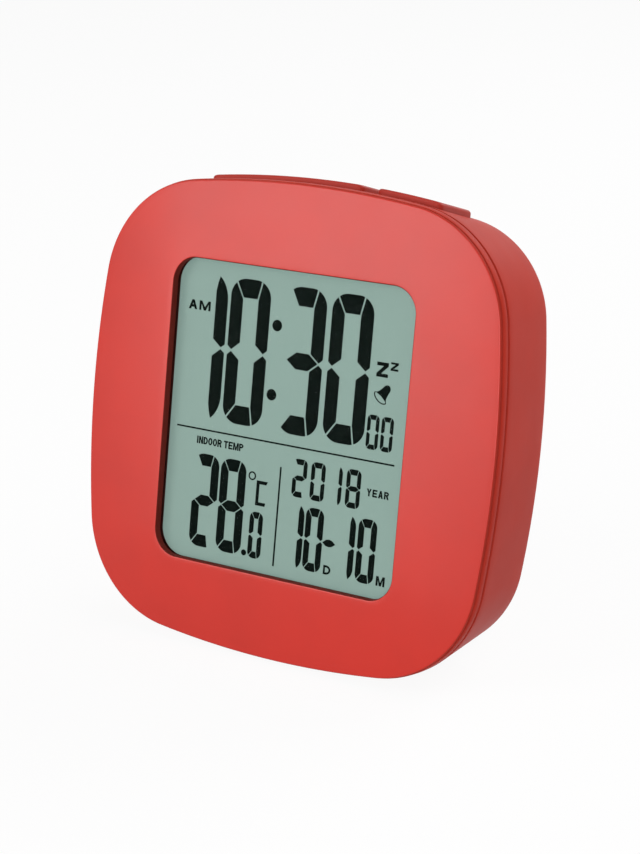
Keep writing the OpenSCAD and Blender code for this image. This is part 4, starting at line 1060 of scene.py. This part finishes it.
# Stage
def seen_rays(nodes, links):
    """1 for rays from the camera, also mirrored or through something clear."""
    path = nodes.new("ShaderNodeLightPath")
    total = path.outputs["Is Camera Ray"]
    for kind in ("Is Glossy Ray", "Is Transmission Ray"):
        larger = nodes.new("ShaderNodeMath")
        larger.operation = "MAXIMUM"
        links.new(total, larger.inputs[0])
        links.new(path.outputs[kind], larger.inputs[1])
        total = larger.outputs["Value"]
    return total


def add_world(strength):
    """White where it is seen, and a weaker white light on everything else."""
    world = bpy.data.worlds.new("studio")
    bpy.context.scene.world = world
    world.use_nodes = True
    nodes, links = world.node_tree.nodes, world.node_tree.links
    light = nodes["Background"]
    put(light, {"Color": (1, 1, 1, 1), "Strength": strength})
    white = nodes.new("ShaderNodeBackground")
    put(white, {"Color": (1, 1, 1, 1)})
    dim, bright = light.outputs["Background"], white.outputs["Background"]
    mixed(nodes, links, seen_rays(nodes, links), dim, bright, "World Output")


def add_floor():
    """A plain floor just under the clock: nearly white where seen, but for the shadow, and grey
    in the light that it throws back."""
    half, z, bounce, whiteness = 4.0, -0.00002, 0.55, 0.93
    mesh = bpy.data.meshes.new("floor")
    corners = [(-half, -half, z), (half, -half, z), (half, half, z), (-half, half, z)]
    mesh.from_pydata(corners, [], [(0, 1, 2, 3)])
    floor = place("floor", mesh)
    nodes, links, shader = new_material("floor_white")
    nodes.remove(shader)
    matt = nodes.new("ShaderNodeBsdfDiffuse")
    seen = seen_rays(nodes, links)
    shade = ramp(nodes, links, seen, (bounce, bounce, bounce), (1, 1, 1), 0, 1)
    links.new(shade, matt.inputs["Color"])
    white = nodes.new("ShaderNodeEmission")
    share = nodes.new("ShaderNodeMath")
    share.operation = "MULTIPLY"
    put(share, {1: whiteness})
    links.new(seen, share.inputs[0])
    dull, bright = matt.outputs["BSDF"], white.outputs["Emission"]
    mixed(nodes, links, share.outputs["Value"], dull, bright, "Material Output")
    mesh.materials.append(MATERIALS["floor_white"])


def add_lamp(name, azimuth, elevation, distance, width, height, power):
    """A soft lamp that looks at the middle of the clock. Degrees, metres and watts."""
    data = bpy.data.lights.new(name, "AREA")
    data.shape, data.size, data.size_y, data.energy = "RECTANGLE", width, height, power
    lamp = place(name, data)
    back = direction(azimuth, elevation)
    lamp.location = CASE @ Vector((0, BASE_MID_Y, 0)) + back * distance
    lamp.rotation_mode = "QUATERNION"
    lamp.rotation_quaternion = (-back).to_track_quat("-Z", "Y")


bpy.context.scene.view_settings.view_transform = "Standard"
add_camera()
dress_cad_nodes()
make_front_shell()
make_rear_shell()
make_key("snooze_cap", "snooze_key", "snooze", SNOOZE_LEFT, SNOOZE_W, SNOOZE_STEMS)
make_key("alarm_cap", "alarm_key", "alarm", ALARM_LEFT, ALARM_W, ALARM_STEMS)
make_buttons()
make_slide_knob()
make_door()
make_display()
make_cells()
make_springs()
make_labels()
add_world(strength=0.20)
add_floor()
add_lamp("key", -28, 21, 0.9, 0.47, 0.8, 4.1)
add_lamp("fill", 20, 10, 1.0, 0.6, 0.5, 3.8)
add_lamp("side", 90, 55, 1.1, 0.8, 0.8, 2.7)
add_lamp("back", 158, 36, 1.1, 0.8, 0.6, 6.0)
